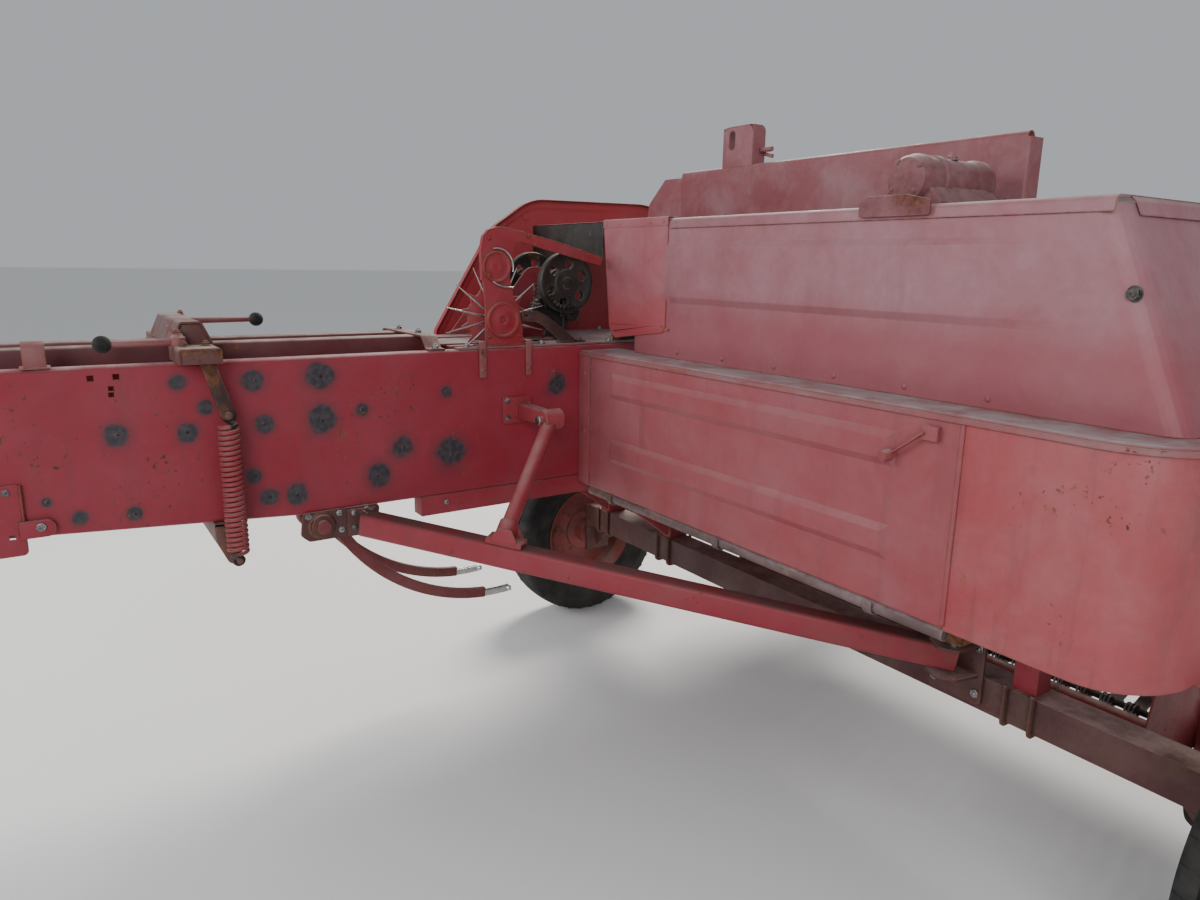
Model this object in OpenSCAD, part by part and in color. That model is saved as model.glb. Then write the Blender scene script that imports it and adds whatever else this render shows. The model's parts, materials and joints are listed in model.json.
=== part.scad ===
// Square baler: a trailed machine that lifts hay off the ground, packs it into a chamber and ties it.
// X points to the machine's right, Y the way it is towed and Z up. Sizes are millimetres.

/* [Bale chamber] */
// Inside width of the chamber
chamber_w = 460; // [400:10:520]
// Height of the chamber's side walls
chamber_h = 440; // [400:10:480]
// Thickness of the side walls
wall_t = 4; // [3:1:6]
// Width of the flange along each wall's edges
flange_w = 42; // [30:2:60]
// Height of the chamber's bottom edge over the ground
chamber_z = 800; // [780:10:840]
// Length of the chamber behind the feeder house
chamber_rear = 1900; // [1700:50:2000]
// How far the walls' lower edges rise towards the rear end
chamber_rise = 66; // [0:2:80]
// Length of the chamber in front of the house's rear face
chamber_front = 1150; // [1100:10:1250]
// Rear edge of the opening through which the crop is fed
feed_rear = 110; // [90:10:160]
// Length of the feed opening
feed_len = 560; // [480:10:600]

/* [Feeder house] */
// Width of the house beside the chamber, to the right end of its floor
house_w = 1790; // [1700:10:1850]
// Width of the rear panel up to the twine box
rear_panel_w = 1390; // [1300:10:1450]
// Height of the lower rear panel
panel_h = 440; // [400:10:460]
// Height of the house's bottom edge over the ground
house_z = 775; // [750:5:800]
// Depth of the shelf on top of the lower panel
shelf_d = 110; // [80:5:150]
// Depth of the house from its rear face to its front lip
house_d = 700; // [660:10:740]
// Height of the upper housing's roof over the ground
roof_z = 1630; // [1560:10:1680]
// Radius of the rounded rear corner
corner_r = 150; // [100:10:200]
// How far the upper end panel leans in at the roof
end_lean = 170; // [140:10:220]
// Thickness of the house's sheet panels
sheet_t = 4; // [3:0.5:6]

/* [Wheels and axle] */
// Outer radius of the tyres
tyre_r = 350; // [320:5:370]
// Width of the tyres
tyre_w = 175; // [140:5:190]
// Radius of the wheel rims
rim_r = 205; // [190:5:220]
// Distance of the axle in front of the house's rear face
axle_y = 450; // [400:10:480]
// Height of the axle beam's middle over the ground
axle_z = 455; // [440:5:480]
// Side of the square axle beam
axle_s = 90; // [70:5:100]
// Gap between the chamber's left wall and the left tyre
left_gap = 110; // [90:10:160]

/* [Pickup] */
// Distance of the reel's axis in front of the house's rear face
reel_y = 960; // [940:5:1000]
// Height of the reel's axis over the ground
reel_z = 470; // [455:5:490]
// Radius of the circle that the tine bars run on
reel_r = 150; // [130:5:165]
// How far the tines reach beyond the tine bars
tine_len = 125; // [100:5:135]
// Width of the pickup between its side plates
pickup_w = 1400; // [1300:10:1450]
// Number of stripper bands
band_count = 22; // [16:1:24]
// Number of tine bars
tine_bars = 5; // [4:1:6]

/* [Drawbar and drive] */
// Height of the hitch eye's middle over the ground
hitch_z = 430; // [380:10:480]
// Distance of the hitch eye in front of the house's rear face
hitch_y = 2560; // [2500:10:2700]
// Diameter of the hitch pin's hole
hitch_d = 28; // [22:1:34]
// Radius of the flywheel
fly_r = 300; // [260:10:320]
// Width of the flywheel's rim
fly_w = 75; // [50:5:90]
// Height of the flywheel's axis over the ground
fly_z = 985; // [960:5:1010]

/* [Knotters] */
// Distance between the two twines
twine_pitch = 230; // [200:10:260]
// Radius of the circle that the needles' bent part follows
needle_r = 620; // [590:10:650]
// Radius of the measuring wheel with its spikes
star_r = 168; // [150:2:180]
// Number of spikes on the measuring wheel
spikes = 14; // [10:1:18]

/* [Hidden] */
$fn = 48;
seat = 0.3;
wall_x = chamber_w / 2 + wall_t;
chamber_top = chamber_z + chamber_h;
shelf_z = house_z + panel_h;
house_x = wall_x + house_w;
panel_x = wall_x + rear_panel_w;
feed_front = feed_rear + feed_len;
deck_t = 6;
deck_z = chamber_top;
right_wheel_x = house_x + 22 + tyre_w / 2;
left_wheel_x = -wall_x - left_gap - tyre_w / 2;
mid_x = (right_wheel_x + left_wheel_x) / 2;
eye_r = 48;
mid_y = (hitch_y + eye_r - chamber_rear) / 2;

// A box between pairs of coordinates
module span(x, y, z) {
    translate([x[0], y[0], z[0]]) cube([x[1] - x[0], y[1] - y[0], z[1] - z[0]]);
}

// Extrudes an outline drawn in Y and Z along X
module along_x(x0, x1) {
    translate([x0, 0, 0]) rotate([90, 0, 90]) linear_extrude(x1 - x0) children();
}

// Extrudes an outline drawn in X and Z along Y
module along_y(y0, y1) {
    translate([0, y1, 0]) rotate([90, 0, 0]) linear_extrude(y1 - y0) children();
}

// Turns the Z axis into the direction from one point to another
module toward(p, q) {
    d = q - p;
    translate(p) rotate([0, acos(d[2] / norm(d)), atan2(d[1], d[0])]) children();
}

// A round rod between two points
module rod(p, q, r) {
    toward(p, q) cylinder(r = r, h = norm(q - p));
}

// A rectangular bar between two points
module bar(p, q, a, b) {
    toward(p, q) translate([-a / 2, -b / 2, 0]) cube([a, b, norm(q - p)]);
}

// A disc whose axis runs along X
module disc_x(x0, x1, y, z, r) {
    translate([x0, y, z]) rotate([0, 90, 0]) cylinder(r = r, h = x1 - x0);
}

// A disc whose axis runs along Y
module disc_y(x, y0, y1, z, r) {
    translate([x, y1, z]) rotate([90, 0, 0]) cylinder(r = r, h = y1 - y0);
}

// Moves the machine so that the frame's origin is under its middle
module placed() {
    translate([-mid_x, -mid_y, 0]) children();
}

floor_rear = -924;

// The line that a wall's lower edge follows, at a given height over it
function low_edge(dz) = [[-chamber_rear, chamber_z + chamber_rise + dz], [floor_rear, chamber_z + dz],
    [chamber_front, chamber_z + dz]];

// One side wall with flanges that point inward, drawn on the right
module side_wall() {
    along_x(wall_x - wall_t, wall_x)
        polygon(concat(low_edge(0), [[chamber_front, chamber_top], [-chamber_rear, chamber_top]]));
    along_x(wall_x - flange_w, wall_x - wall_t + 1) {
        polygon(concat(low_edge(0), [for (i = [2, 1, 0]) low_edge(wall_t)[i]]));
        translate([-chamber_rear, chamber_top - wall_t]) square([chamber_rear + chamber_front, wall_t]);
    }
}

module chamber_right_wall() color("firebrick") placed() {
    difference() {
        side_wall();
        span([wall_x - 100, wall_x + 100], [feed_rear, feed_front], [chamber_z + 30, chamber_top - 30]);
    }
}

module chamber_left_wall() color("firebrick") placed() {
    mirror([1, 0, 0]) side_wall();
}

// Slots for the needles run from the yoke forward to the knotters
yoke_y = -864;
yoke_z = chamber_z - 34;
needle_front = -60;

module chamber_floor() color("dimgray") placed() {
    half = chamber_w / 2 - seat;
    difference() {
        span([-half, half], [floor_rear, chamber_front], [chamber_z + wall_t, chamber_z + 2 * wall_t]);
        for (side = [-1, 1])
            span([side * twine_pitch / 2 - 24, side * twine_pitch / 2 + 24],
                [yoke_y - 30, needle_front], [chamber_z, chamber_z + 20]);
    }
    for (side = [-1, 1])
        along_x(side * 80 - 18, side * 80 + 18) polygon([low_edge(wall_t)[0], low_edge(wall_t)[1] + [1, 0],
            low_edge(50)[1] + [1, 0], low_edge(50)[0]]);
    span([-half, half], [-chamber_rear, -chamber_rear + 40],
        [chamber_z + chamber_rise + wall_t, chamber_z + chamber_rise + 2 * wall_t]);
}

star_x = wall_x - 50;
star_y = -281;
star_z = chamber_top + 86;

module chamber_deck() color("firebrick") placed() {
    difference() {
        span([-wall_x, wall_x], [-430, chamber_front], [deck_z, deck_z + deck_t]);
        for (side = [-1, 1])
            span([side * twine_pitch / 2 - 24, side * twine_pitch / 2 + 24], [-431, -90],
                [deck_z - 1, deck_z + deck_t + 1]);
        span([star_x - 18, star_x + 16], [star_y - star_r - 20, star_y + star_r + 20],
            [deck_z - 1, deck_z + deck_t + 1]);
    }
}

module top_rails() color("brown") placed() {
    for (side = [-1, 1])
        difference() {
            span([side * 80 - 30, side * 80 + 30], [-chamber_rear, -460],
                [chamber_top - 60, chamber_top]);
            span([side * 80 - 26, side * 80 + 26], [-chamber_rear - 1, -459],
                [chamber_top - 56, chamber_top + 1]);
        }
    for (y = [-chamber_rear + 20, -520])
        span([-wall_x + 10, wall_x - 10], [y, y + 50], [chamber_top, chamber_top + 8]);
}

rear_plate_y = -1547;
rear_plate_z = 803;

module rear_plates() color("firebrick") placed() {
    for (side = [0, 1])
        mirror([side, 0, 0]) {
            span([wall_x, wall_x + 6], [-chamber_rear, rear_plate_y], [rear_plate_z, rear_plate_z + 172]);
            span([wall_x, wall_x + 14], [rear_plate_y - 30, rear_plate_y + 60], [rear_plate_z + 22, rear_plate_z + 82]);
        }
}

// The tension frame squeezes the top rails with a spring on each side
tension_y = -1150;
spring_y = tension_y + 50;
spring_x = wall_x + 52;
spring_top = 1106;
spring_bottom = 730;
spring_r = 36;
wire_r = 6;
spring_turns = 20;

module tension_frame() color("saddlebrown") placed() {
    top = chamber_top;
    along_x(-wall_x + 40, wall_x - 40) difference() {
        polygon([[tension_y - 50, top + 30], [tension_y + 50, top + 30],
            [tension_y + 22, top + 98], [tension_y - 22, top + 98]]);
        polygon([[tension_y - 43, top + 29], [tension_y + 43, top + 29],
            [tension_y + 16, top + 91], [tension_y - 16, top + 91]]);
    }
    along_x(-wall_x - 85, wall_x + 85) difference() {
        polygon([[tension_y - 50, top], [tension_y + 50, top], [tension_y + 50, top + 38], [tension_y - 50, top + 38]]);
        polygon([[tension_y - 42, top - 1], [tension_y + 42, top - 1], [tension_y + 42, top + 31], [tension_y - 42, top + 31]]);
    }
    along_x(-wall_x - 85, wall_x + 85) difference() {
        translate([tension_y - 35, chamber_z - 95]) square([40, 50]);
        translate([tension_y - 27, chamber_z - 96]) square([24, 43]);
    }
    for (side = [-1, 1]) {
        x = side * spring_x;
        bar([x, tension_y + 10, top + 34], [x, spring_y, spring_top + 30], 16, 34);
        rod([x - 18, spring_y, spring_top + 26], [x + 18, spring_y, spring_top + 26], 15);
        span([x - 9, x + 9], [tension_y - 24, tension_y - 6], [spring_bottom - 31, chamber_z - 50]);
        span([x - 7, x + 7], [tension_y - 20, spring_y], [spring_bottom - 28, spring_bottom - 16]);
        rod([x - 18, spring_y, spring_bottom - 22], [x + 18, spring_y, spring_bottom - 22], 8);
        span([side * (wall_x + 4) - 4, side * (wall_x + 4) + 4],
            [tension_y - 30, tension_y + 10], [chamber_z - 60, top + 6]);
    }
}

// The wire's outline in a level plane, so that the twist gives a round wire
function coil_outline(r, w, pitch, n) = [for (i = [0 : n - 1])
    let (a = 360 * i / n, rho = r + w * cos(a), turn = 360 * w * sin(a) / pitch)
    [rho * cos(turn), rho * sin(turn)]];

module coil(r, w, length, turns) {
    linear_extrude(length, twist = -360 * turns, slices = turns * 10, segments = 6)
        polygon(coil_outline(r, w, length / turns, 6));
}

module tension_springs() color("firebrick") placed() {
    for (side = [-1, 1])
        translate([side * spring_x, spring_y, 0]) {
            translate([0, 0, spring_bottom])
                coil(spring_r, wire_r, spring_top - spring_bottom, spring_turns);
            for (z = [spring_bottom - 8, spring_top - 8]) {
                translate([0, 0, z]) difference() {
                    cylinder(r = spring_r + wire_r - 1, h = 16);
                    translate([0, 0, -1]) cylinder(r = spring_r - wire_r, h = 18);
                }
                span([-spring_r, spring_r], [-wire_r, wire_r], [z + 3, z + 13]);
            }
            rod([0, 0, spring_top], [0, 0, spring_top + 11 - seat], 7);
            rod([0, 0, spring_bottom - 14 + seat], [0, 0, spring_bottom], 7);
        }
}

crank_len = [205, 160];

module tension_cranks() color("brown") placed() {
    for (i = [0, 1]) {
        side = 2 * i - 1;
        z = chamber_top + (i > 0 ? 38 : 62);
        translate([side * (wall_x - 20), tension_y - side * 34, z]) {
            translate([0, 0, chamber_top + 38 - z]) cylinder(r = 11, h = z - chamber_top - 37);
            cylinder(r = 20, h = 26);
            rod([0, 0, 13], [0, -side * crank_len[i], 13], 9);
            translate([0, -side * crank_len[i], 13]) sphere(r = 21);
        }
    }
}

shaft_y = -5;
shaft_z = chamber_top + 195;
plate_top = chamber_top + 340;
frame_base = deck_z + deck_t;

module knotter_frame() color("firebrick") placed() {
    difference() {
        along_x(wall_x - 14, wall_x - 6) {
            polygon([[-450, frame_base], [-140, frame_base], [-150, frame_base + 110],
                [-146, plate_top - 75], [75, plate_top - 120], [75, plate_top - 82],
                [-290, plate_top + 6], [-375, plate_top - 30], [-430, frame_base + 130]]);
            translate([-330, plate_top - 44]) circle(r = 52);
        }
        disc_x(wall_x - 20, wall_x, -330, plate_top - 44, 14);
    }
    for (x = [-4, -wall_x + 6])
        difference() {
            along_x(x, x + 8) polygon([[-260, frame_base], [70, frame_base], [shaft_y + 50, shaft_z + 50],
                [shaft_y - 60, shaft_z + 50]]);
            disc_x(x - 1, x + 9, shaft_y, shaft_z, 20.3);
        }
    disc_x(star_x - 16, wall_x - 13, star_y, star_z, 10);
    disc_x(star_x - 16, star_x - 8.5, star_y, star_z, 16);
    disc_x(wall_x - 6, wall_x + 6, star_y, star_z, 46);
    disc_x(wall_x - 6, wall_x + 3, -313, plate_top - 110, 52);
}

cam_r = 100;

module knotters() color("dimgray") placed() {
    disc_x(-wall_x - 45, twine_pitch / 2 + 60, shaft_y, shaft_z, 20);
    for (side = [-1, 1]) {
        x = side * twine_pitch / 2;
        difference() {
            disc_x(x + 22, x + 46, shaft_y, shaft_z, cam_r);
            for (a = [20 : 60 : 320])
                disc_x(x + 21, x + 47, shaft_y + 62 * cos(a), shaft_z + 62 * sin(a), 20);
        }
        disc_x(x - 30, x + 24, shaft_y, shaft_z, 44);
        rod([x - 12, shaft_y + 20, shaft_z - 40], [x - 12, shaft_y + 20, shaft_z - 140], 16);
        bar([x - 12, shaft_y + 10, shaft_z - 120], [x - 12, shaft_y - 110, shaft_z - 150], 14, 18);
        bar([x - 12, shaft_y - 24, shaft_z - 20], [x - 12, shaft_y - 100, shaft_z - 70], 34, 26);
        disc_x(x - 40, x - 26, shaft_y - 50, shaft_z - 90, 44);
        rod([x - 30, shaft_y - 50, shaft_z - 90], [x - 8, shaft_y - 50, shaft_z - 90], 14);
        rod([x - 9, shaft_y - 50, shaft_z - 90], [x - 9, shaft_y + 20, shaft_z - 90], 9);
    }
    disc_x(-wall_x - 45, -wall_x - 30, shaft_y, shaft_z, 58);
}

module star_wheel() color("firebrick") placed() {
    difference() {
        union() {
            disc_x(star_x - 8, star_x + 14, star_y, star_z, 34);
            disc_x(star_x - 6, star_x + 2, star_y, star_z, 60);
            for (i = [0 : spikes - 1])
                translate([star_x - 2, star_y, star_z]) rotate([i * 360 / spikes, 0, 0])
                    translate([0, 0, 30]) cylinder(r = 3.5, h = star_r - 30, $fn = 8);
        }
        disc_x(star_x - 30, star_x + 20, star_y, star_z, 10.4);
    }
}

needle_c = [-257, chamber_z + 205];
needle_from = 204;
needle_to = 276;
needle_h = 34;
needle_t = 20;

// A flat ring sector between two angles, as an outline with true arcs
module sector(r1, r2, a1, a2) {
    steps = 4;
    intersection() {
        difference() {
            circle(r = r2, $fn = 96);
            circle(r = r1, $fn = 96);
        }
        polygon(concat([[0, 0]],
            [for (i = [0 : steps]) let (a = a1 + (a2 - a1) * i / steps) 2 * r2 * [cos(a), sin(a)]]));
    }
}

module needle_yoke() color("firebrick") placed() {
    disc_x(-wall_x - 40, wall_x + 40, yoke_y, yoke_z, 20);
    for (side = [-1, 1]) {
        x = side * twine_pitch / 2;
        along_x(x - needle_t / 2, x + needle_t / 2) {
            translate(needle_c) sector(needle_r - needle_h, needle_r, needle_from - 3, needle_to - 10);
            translate(needle_c) sector(needle_r - needle_h + 8, needle_r - 4, needle_to - 10.5, needle_to);
            translate([yoke_y, yoke_z]) circle(r = 36);
        }
        disc_x(x - 16, x + 16, needle_c[0] + (needle_r - 16) * cos(needle_to - 1),
            needle_c[1] + (needle_r - 16) * sin(needle_to - 1), 13);
    }
}

module yoke_bearings() color("brown") placed() {
    for (side = [0, 1]) mirror([side, 0, 0]) difference() {
        along_x(wall_x, wall_x + 10) polygon([[yoke_y - 60, yoke_z - 30], [yoke_y + 60, yoke_z - 42],
            [yoke_y + 190, yoke_z - 40], [yoke_y + 230, chamber_z + 40], [yoke_y - 40, chamber_z + 40]]);
        disc_x(wall_x - 1, wall_x + 11, yoke_y, yoke_z, 20.5);
    }
}

swage_d = 7;

// A long shallow pressing on a rear panel, drawn as a bead
module bead(x0, x1, y, z, h) {
    along_x(x0, x1) polygon([[y, z - h / 2], [y - swage_d, z - h / 2 + 10],
        [y - swage_d, z + h / 2 - 10], [y, z + h / 2]]);
}

module house_rear_panel() color("indianred") placed() {
    along_x(wall_x + 1, panel_x) polygon([[0, house_z], [30, house_z], [30, house_z + sheet_t],
        [sheet_t, house_z + sheet_t], [sheet_t, shelf_z], [0, shelf_z]]);
    bead(wall_x + 215, panel_x - 175, 0, shelf_z - 85, 70);
    bead(wall_x + 215, panel_x - 175, 0, house_z + 145, 70);
    span([wall_x + 1, wall_x + 70], [-3, 0], [house_z + 6, shelf_z - 6]);
}

// The pickup hangs from ears that stand between its bands
hinge_y = house_d + 34;
hinge_z = house_z - 48;
hinge_r = 20;
hinge_gaps = [3, 9, 13, 19];
pickup_x0 = wall_x + 150;
pickup_x1 = pickup_x0 + pickup_w;
band_pitch = pickup_w / band_count;

// The outline of the sheet that wraps the house's right rear corner
module corner_plan(inset) {
    n = 12;
    r = corner_r - inset;
    c = [house_x - corner_r, corner_r];
    polygon(concat([[panel_x, inset]],
        [for (i = [0 : n]) let (a = -90 + 90 * i / n) c + r * [cos(a), sin(a)]],
        [[house_x - inset, house_d], [panel_x, house_d]]));
}

auger_y = 330;
auger_z = house_z + 235;
auger_r = 185;
end_low = 600;

module twine_box() color("indianred") placed() {
    difference() {
        translate([0, 0, end_low]) linear_extrude(shelf_z - end_low) difference() {
            corner_plan(0);
            corner_plan(sheet_t);
            square([panel_x + 0.5, house_d]);
            translate([0, house_d - 1]) square([house_x - 30, 5]);
        }
        along_x(0, house_x + 1) polygon([[-1, end_low - 1], [-1, house_z], [corner_r, house_z + 30],
            [420, end_low + 60], [house_d - 60, end_low + 20], [house_d + 1, end_low - 1]]);
    }
    difference() {
        span([panel_x - sheet_t, panel_x], [sheet_t, house_d - 30], [house_z + 6, shelf_z - 1]);
        disc_x(panel_x - 20, panel_x + 5, auger_y, auger_z, 30);
    }
    difference() {
        disc_x(panel_x - sheet_t, panel_x + 90, auger_y, auger_z, 55);
        disc_x(panel_x - 20, panel_x + 91, auger_y, auger_z, 25.5);
    }
}

module house_shelf() color("rosybrown") placed() {
    translate([0, 0, shelf_z]) linear_extrude(8) intersection() {
        union() {
            corner_plan(0);
            translate([wall_x + 1, 0]) square([panel_x - wall_x, house_d]);
        }
        translate([0, -1]) square([house_x + 1, shelf_d + 40]);
    }
}

module house_floor() color("rosybrown") placed() {
    along_x(wall_x + 1, panel_x - sheet_t - 1) polygon([[31, house_z], [house_d - 60, house_z], [house_d, house_z - 30],
        [house_d, house_z - 26], [house_d - 60, house_z + sheet_t + 2], [31, house_z + sheet_t + 2]]);
    span([panel_x, house_x - sheet_t - 1], [corner_r, house_d - 40], [house_z + 32, house_z + 38]);
    for (x = [wall_x + 40 : 330 : panel_x - 30])
        span([x, x + 40], [60, house_d - 70], [house_z - 50, house_z]);
    for (i = hinge_gaps)
        along_x(pickup_x0 + i * band_pitch - 4, pickup_x0 + i * band_pitch + 4) difference() {
            union() {
                polygon([[house_d - 120, house_z], [house_d - 120, house_z - 60], [hinge_y, hinge_z - 32],
                    [hinge_y, hinge_z + 32 - 14], [house_d - 60, house_z]]);
                translate([hinge_y, hinge_z]) circle(r = 32);
            }
            translate([hinge_y, hinge_z]) circle(r = hinge_r + seat);
        }
}

// The flap over the knotters' right side ends here
flap_x = wall_x + 312;

module upper_panel() color("indianred") placed() {
    z0 = shelf_z + 8;
    along_y(shelf_d, shelf_d + sheet_t) polygon([[wall_x + 150, z0], [house_x - 60, z0],
        [house_x - 60 - end_lean, roof_z], [wall_x + 150, roof_z]]);
    bead(flap_x + 20, house_x - 310, shelf_d, roof_z - 55, 44);
    bead(flap_x + 20, house_x - 310, shelf_d, roof_z - 175, 110);
}

module upper_end() color("indianred") placed() {
    z0 = shelf_z + 8;
    along_y(shelf_d, house_d) polygon([[house_x - 60, z0], [house_x - 54, z0],
        [house_x - 54 - end_lean, roof_z], [house_x - 60 - end_lean, roof_z]]);
    span([house_x - 60, house_x], [shelf_d + 41, house_d], [shelf_z, z0]);
}

module upper_roof() color("indianred") placed() {
    span([-wall_x, house_x - 54 - end_lean], [shelf_d, 520], [roof_z, roof_z + sheet_t]);
    span([flap_x + 4, house_x - 60 - end_lean], [shelf_d - sheet_t, shelf_d], [roof_z - 22, roof_z + sheet_t]);
    along_y(shelf_d, shelf_d + sheet_t) polygon([[-wall_x - 40, roof_z + sheet_t], [-wall_x - 40, roof_z - 110],
        [-wall_x - 20, roof_z - 122], [wall_x - 40, roof_z - 122], [wall_x - 40, roof_z + sheet_t]]);
    span([wall_x - 5, wall_x - 1], [shelf_d + 20, 520], [frame_base, roof_z]);
}

module left_flap() color("firebrick") placed() {
    along_y(shelf_d - sheet_t, shelf_d) polygon([[wall_x - 30, roof_z + sheet_t], [wall_x + 10, shelf_z + 86],
        [wall_x + 26, shelf_z + 58], [wall_x + 50, shelf_z + 48], [flap_x - 16, shelf_z + 82], [flap_x, shelf_z + 100],
        [flap_x, roof_z + sheet_t]]);
}

hood_y = 500;
hood_top = 1822;

module front_hood() color("indianred") placed() {
    z0 = roof_z + sheet_t;
    along_x(wall_x - 120, wall_x + 1190) polygon([[hood_y, z0], [hood_y + sheet_t, z0],
        [hood_y + sheet_t, hood_top - sheet_t], [hood_y + 30, hood_top - sheet_t],
        [hood_y + 30, hood_top], [hood_y, hood_top]]);
    span([wall_x + 1186, wall_x + 1190], [hood_y, hood_y + 60], [z0, hood_top]);
    along_y(hood_y, hood_y + sheet_t) polygon([[wall_x - 324, z0], [wall_x - 119, z0], [wall_x - 119, hood_top - 18],
        [wall_x - 216, hood_top - 20], [wall_x - 310, hood_top - 104]]);
    for (x = [wall_x + 86, wall_x + 270])
        along_x(x, x + 6) polygon([[hood_y + sheet_t - 1, hood_top - 90], [hood_y + 60, hood_top - 90],
            [hood_y + 60, hood_top + 126], [hood_y + sheet_t - 1, hood_top + 126]]);
    span([wall_x + 86, wall_x + 276], [hood_y + sheet_t - 1, hood_y + 60], [hood_top + 120, hood_top + 126]);
    span([wall_x + 118, wall_x + 276], [hood_y + sheet_t - 1, hood_y + 8], [hood_top - 10, hood_top + 126]);
}

gear_x = wall_x + 1087;
gear_z = roof_z + 62;

module feeder_gearbox() color("rosybrown") placed() {
    disc_y(gear_x, shelf_d + 50, shelf_d + 320, gear_z, 54);
    disc_y(gear_x, shelf_d + 120, shelf_d + 140, gear_z, 57);
    disc_y(gear_x, shelf_d + 44, shelf_d + 56, gear_z, 57);
    along_y(shelf_d + 60, shelf_d + 300) polygon([[gear_x - 90, roof_z + sheet_t], [gear_x + 90, roof_z + sheet_t],
        [gear_x + 50, gear_z], [gear_x - 50, gear_z]]);
    span([gear_x - 74, gear_x + 110], [shelf_d - 14, shelf_d - 8], [roof_z - 20, roof_z + 12]);
    span([gear_x - 60, gear_x + 60], [shelf_d - 14, shelf_d + 60], [roof_z + sheet_t, roof_z + 12]);
}

module feed_auger() color("gray") placed() {
    disc_x(wall_x + 40, panel_x - 40, auger_y, auger_z, 62);
    disc_x(panel_x - 41, panel_x + 80, auger_y, auger_z, 25);
    translate([wall_x + 60, auger_y, auger_z]) rotate([0, 90, 0])
        linear_extrude(panel_x - 60 - wall_x - 60, twist = 360 * 3, slices = 60, segments = 4)
            polygon([[55, -6], [auger_r, -3], [auger_r, 3], [55, 6]]);
}

module house_pipe() color("gray") placed() {
    rod([wall_x + 60, 14, house_z - 14], [panel_x, 14, house_z - 14], 14);
}

shield_x = -wall_x - 75;

module left_shield() color("firebrick") placed() {
    along_x(shield_x - 4, shield_x) {
        polygon([[-290, 1240], [-60, 1620], [150, 1730], [640, 1736], [1010, 1640], [1080, 1420],
            [1080, 1120], [-180, 1120]]);
        translate([110, 1580]) circle(r = 150);
    }
    for (p = [[-100, 1160], [480, 1160], [1000, 1160]])
        rod([-wall_x, p[0], p[1]], [shield_x - 6, p[0], p[1]], 14);
}

module axle_beam() color("maroon") placed() {
    x0 = left_wheel_x + tyre_w / 2 + 18;
    x1 = right_wheel_x - tyre_w / 2 - 18;
    h = axle_s / 2;
    difference() {
        span([x0, x1], [axle_y - h, axle_y + h], [axle_z - h, axle_z + h]);
        span([x0 - 1, x1 + 1], [axle_y - h + 8, axle_y + h - 8], [axle_z - h + 8, axle_z + h - 8]);
    }
    for (side = [[x0, 1, left_wheel_x], [x1, -1, right_wheel_x]]) {
        end = side[0];
        span([min(end, end + 14 * side[1]), max(end, end + 14 * side[1])], [axle_y - 55, axle_y + 55],
            [tyre_r - 50, axle_z + h]);
        rod([end + 8 * side[1], axle_y, tyre_r], [side[2] - 28 * side[1], axle_y, tyre_r], 20);
    }
}

sill_w = 60;

module pedestals() color("maroon") placed() {
    for (side = [-1, 1]) {
        x = side * (wall_x - 34);
        span([x - 30, x + 30], [-560, chamber_front - 30], [chamber_z - sill_w, chamber_z]);
        span([x - 30, x + 30], [axle_y - 40, axle_y + 40], [axle_z + axle_s / 2, chamber_z - sill_w]);
        bar([x, axle_y - 300, chamber_z - 70], [x, axle_y - 20, axle_z + axle_s / 2 + 20], 40, 30);
    }
    for (y = [-60, axle_y - 20, chamber_front - 90])
        span([-wall_x + 60, wall_x - 60], [y, y + 60], [chamber_z - sill_w, chamber_z - 10]);
    span([panel_x - 60, panel_x], [axle_y - 30, axle_y + 30], [axle_z + axle_s / 2, house_z - 50]);
    span([wall_x + 20, panel_x + 100], [axle_y - 30, axle_y + 30], [house_z - 80, house_z - 50]);
}

// A channel with its open side toward local -X, laid between two points
module channel(p, q, a, b, t) {
    toward(p, q) linear_extrude(norm(q - p)) difference() {
        translate([-a / 2, -b / 2]) square([a, b]);
        translate([-a / 2 + t, -b / 2 - 1]) square([a - 2 * t, b - t + 1]);
    }
}

brace_rear = [wall_x + 42, yoke_y + 110, chamber_z - 36];
brace_h = 66;
brace_front = [wall_x + 1200, axle_y - axle_s / 2 - 32, axle_z + 85];

module axle_brace() color("brown") placed() {
    channel(brace_rear, brace_front, brace_h, 60, 7);
    span([wall_x + 10, wall_x + 60], [yoke_y + 70, yoke_y + 150], [chamber_z - 78, chamber_z]);
    span([brace_front[0] - 60, brace_front[0] + 60], [axle_y - axle_s / 2 - 70, axle_y - axle_s / 2],
        [axle_z - 20, axle_z + 88]);
}

strut_y = -215;
strut_z = chamber_z + 240;

module brace_strut() color("firebrick") placed() {
    foot = brace_rear + (brace_front - brace_rear) * 0.26 + [0, 0, 52];
    span([wall_x, wall_x + 8], [strut_y - 90, strut_y + 45], [strut_z - 35, strut_z + 45]);
    span([wall_x + 7, wall_x + 195], [strut_y - 25, strut_y + 25], [strut_z - 25, strut_z + 25]);
    rod([wall_x + 180, strut_y, strut_z], foot, 22);
    rod([wall_x + 180, strut_y - 40, strut_z], [wall_x + 180, strut_y + 40, strut_z], 12);
    toward(brace_rear, brace_front) translate([-brace_h / 2 - 24, -28, norm(brace_front - brace_rear) * 0.26 - 40])
        cube([24, 56, 80]);
}

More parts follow.
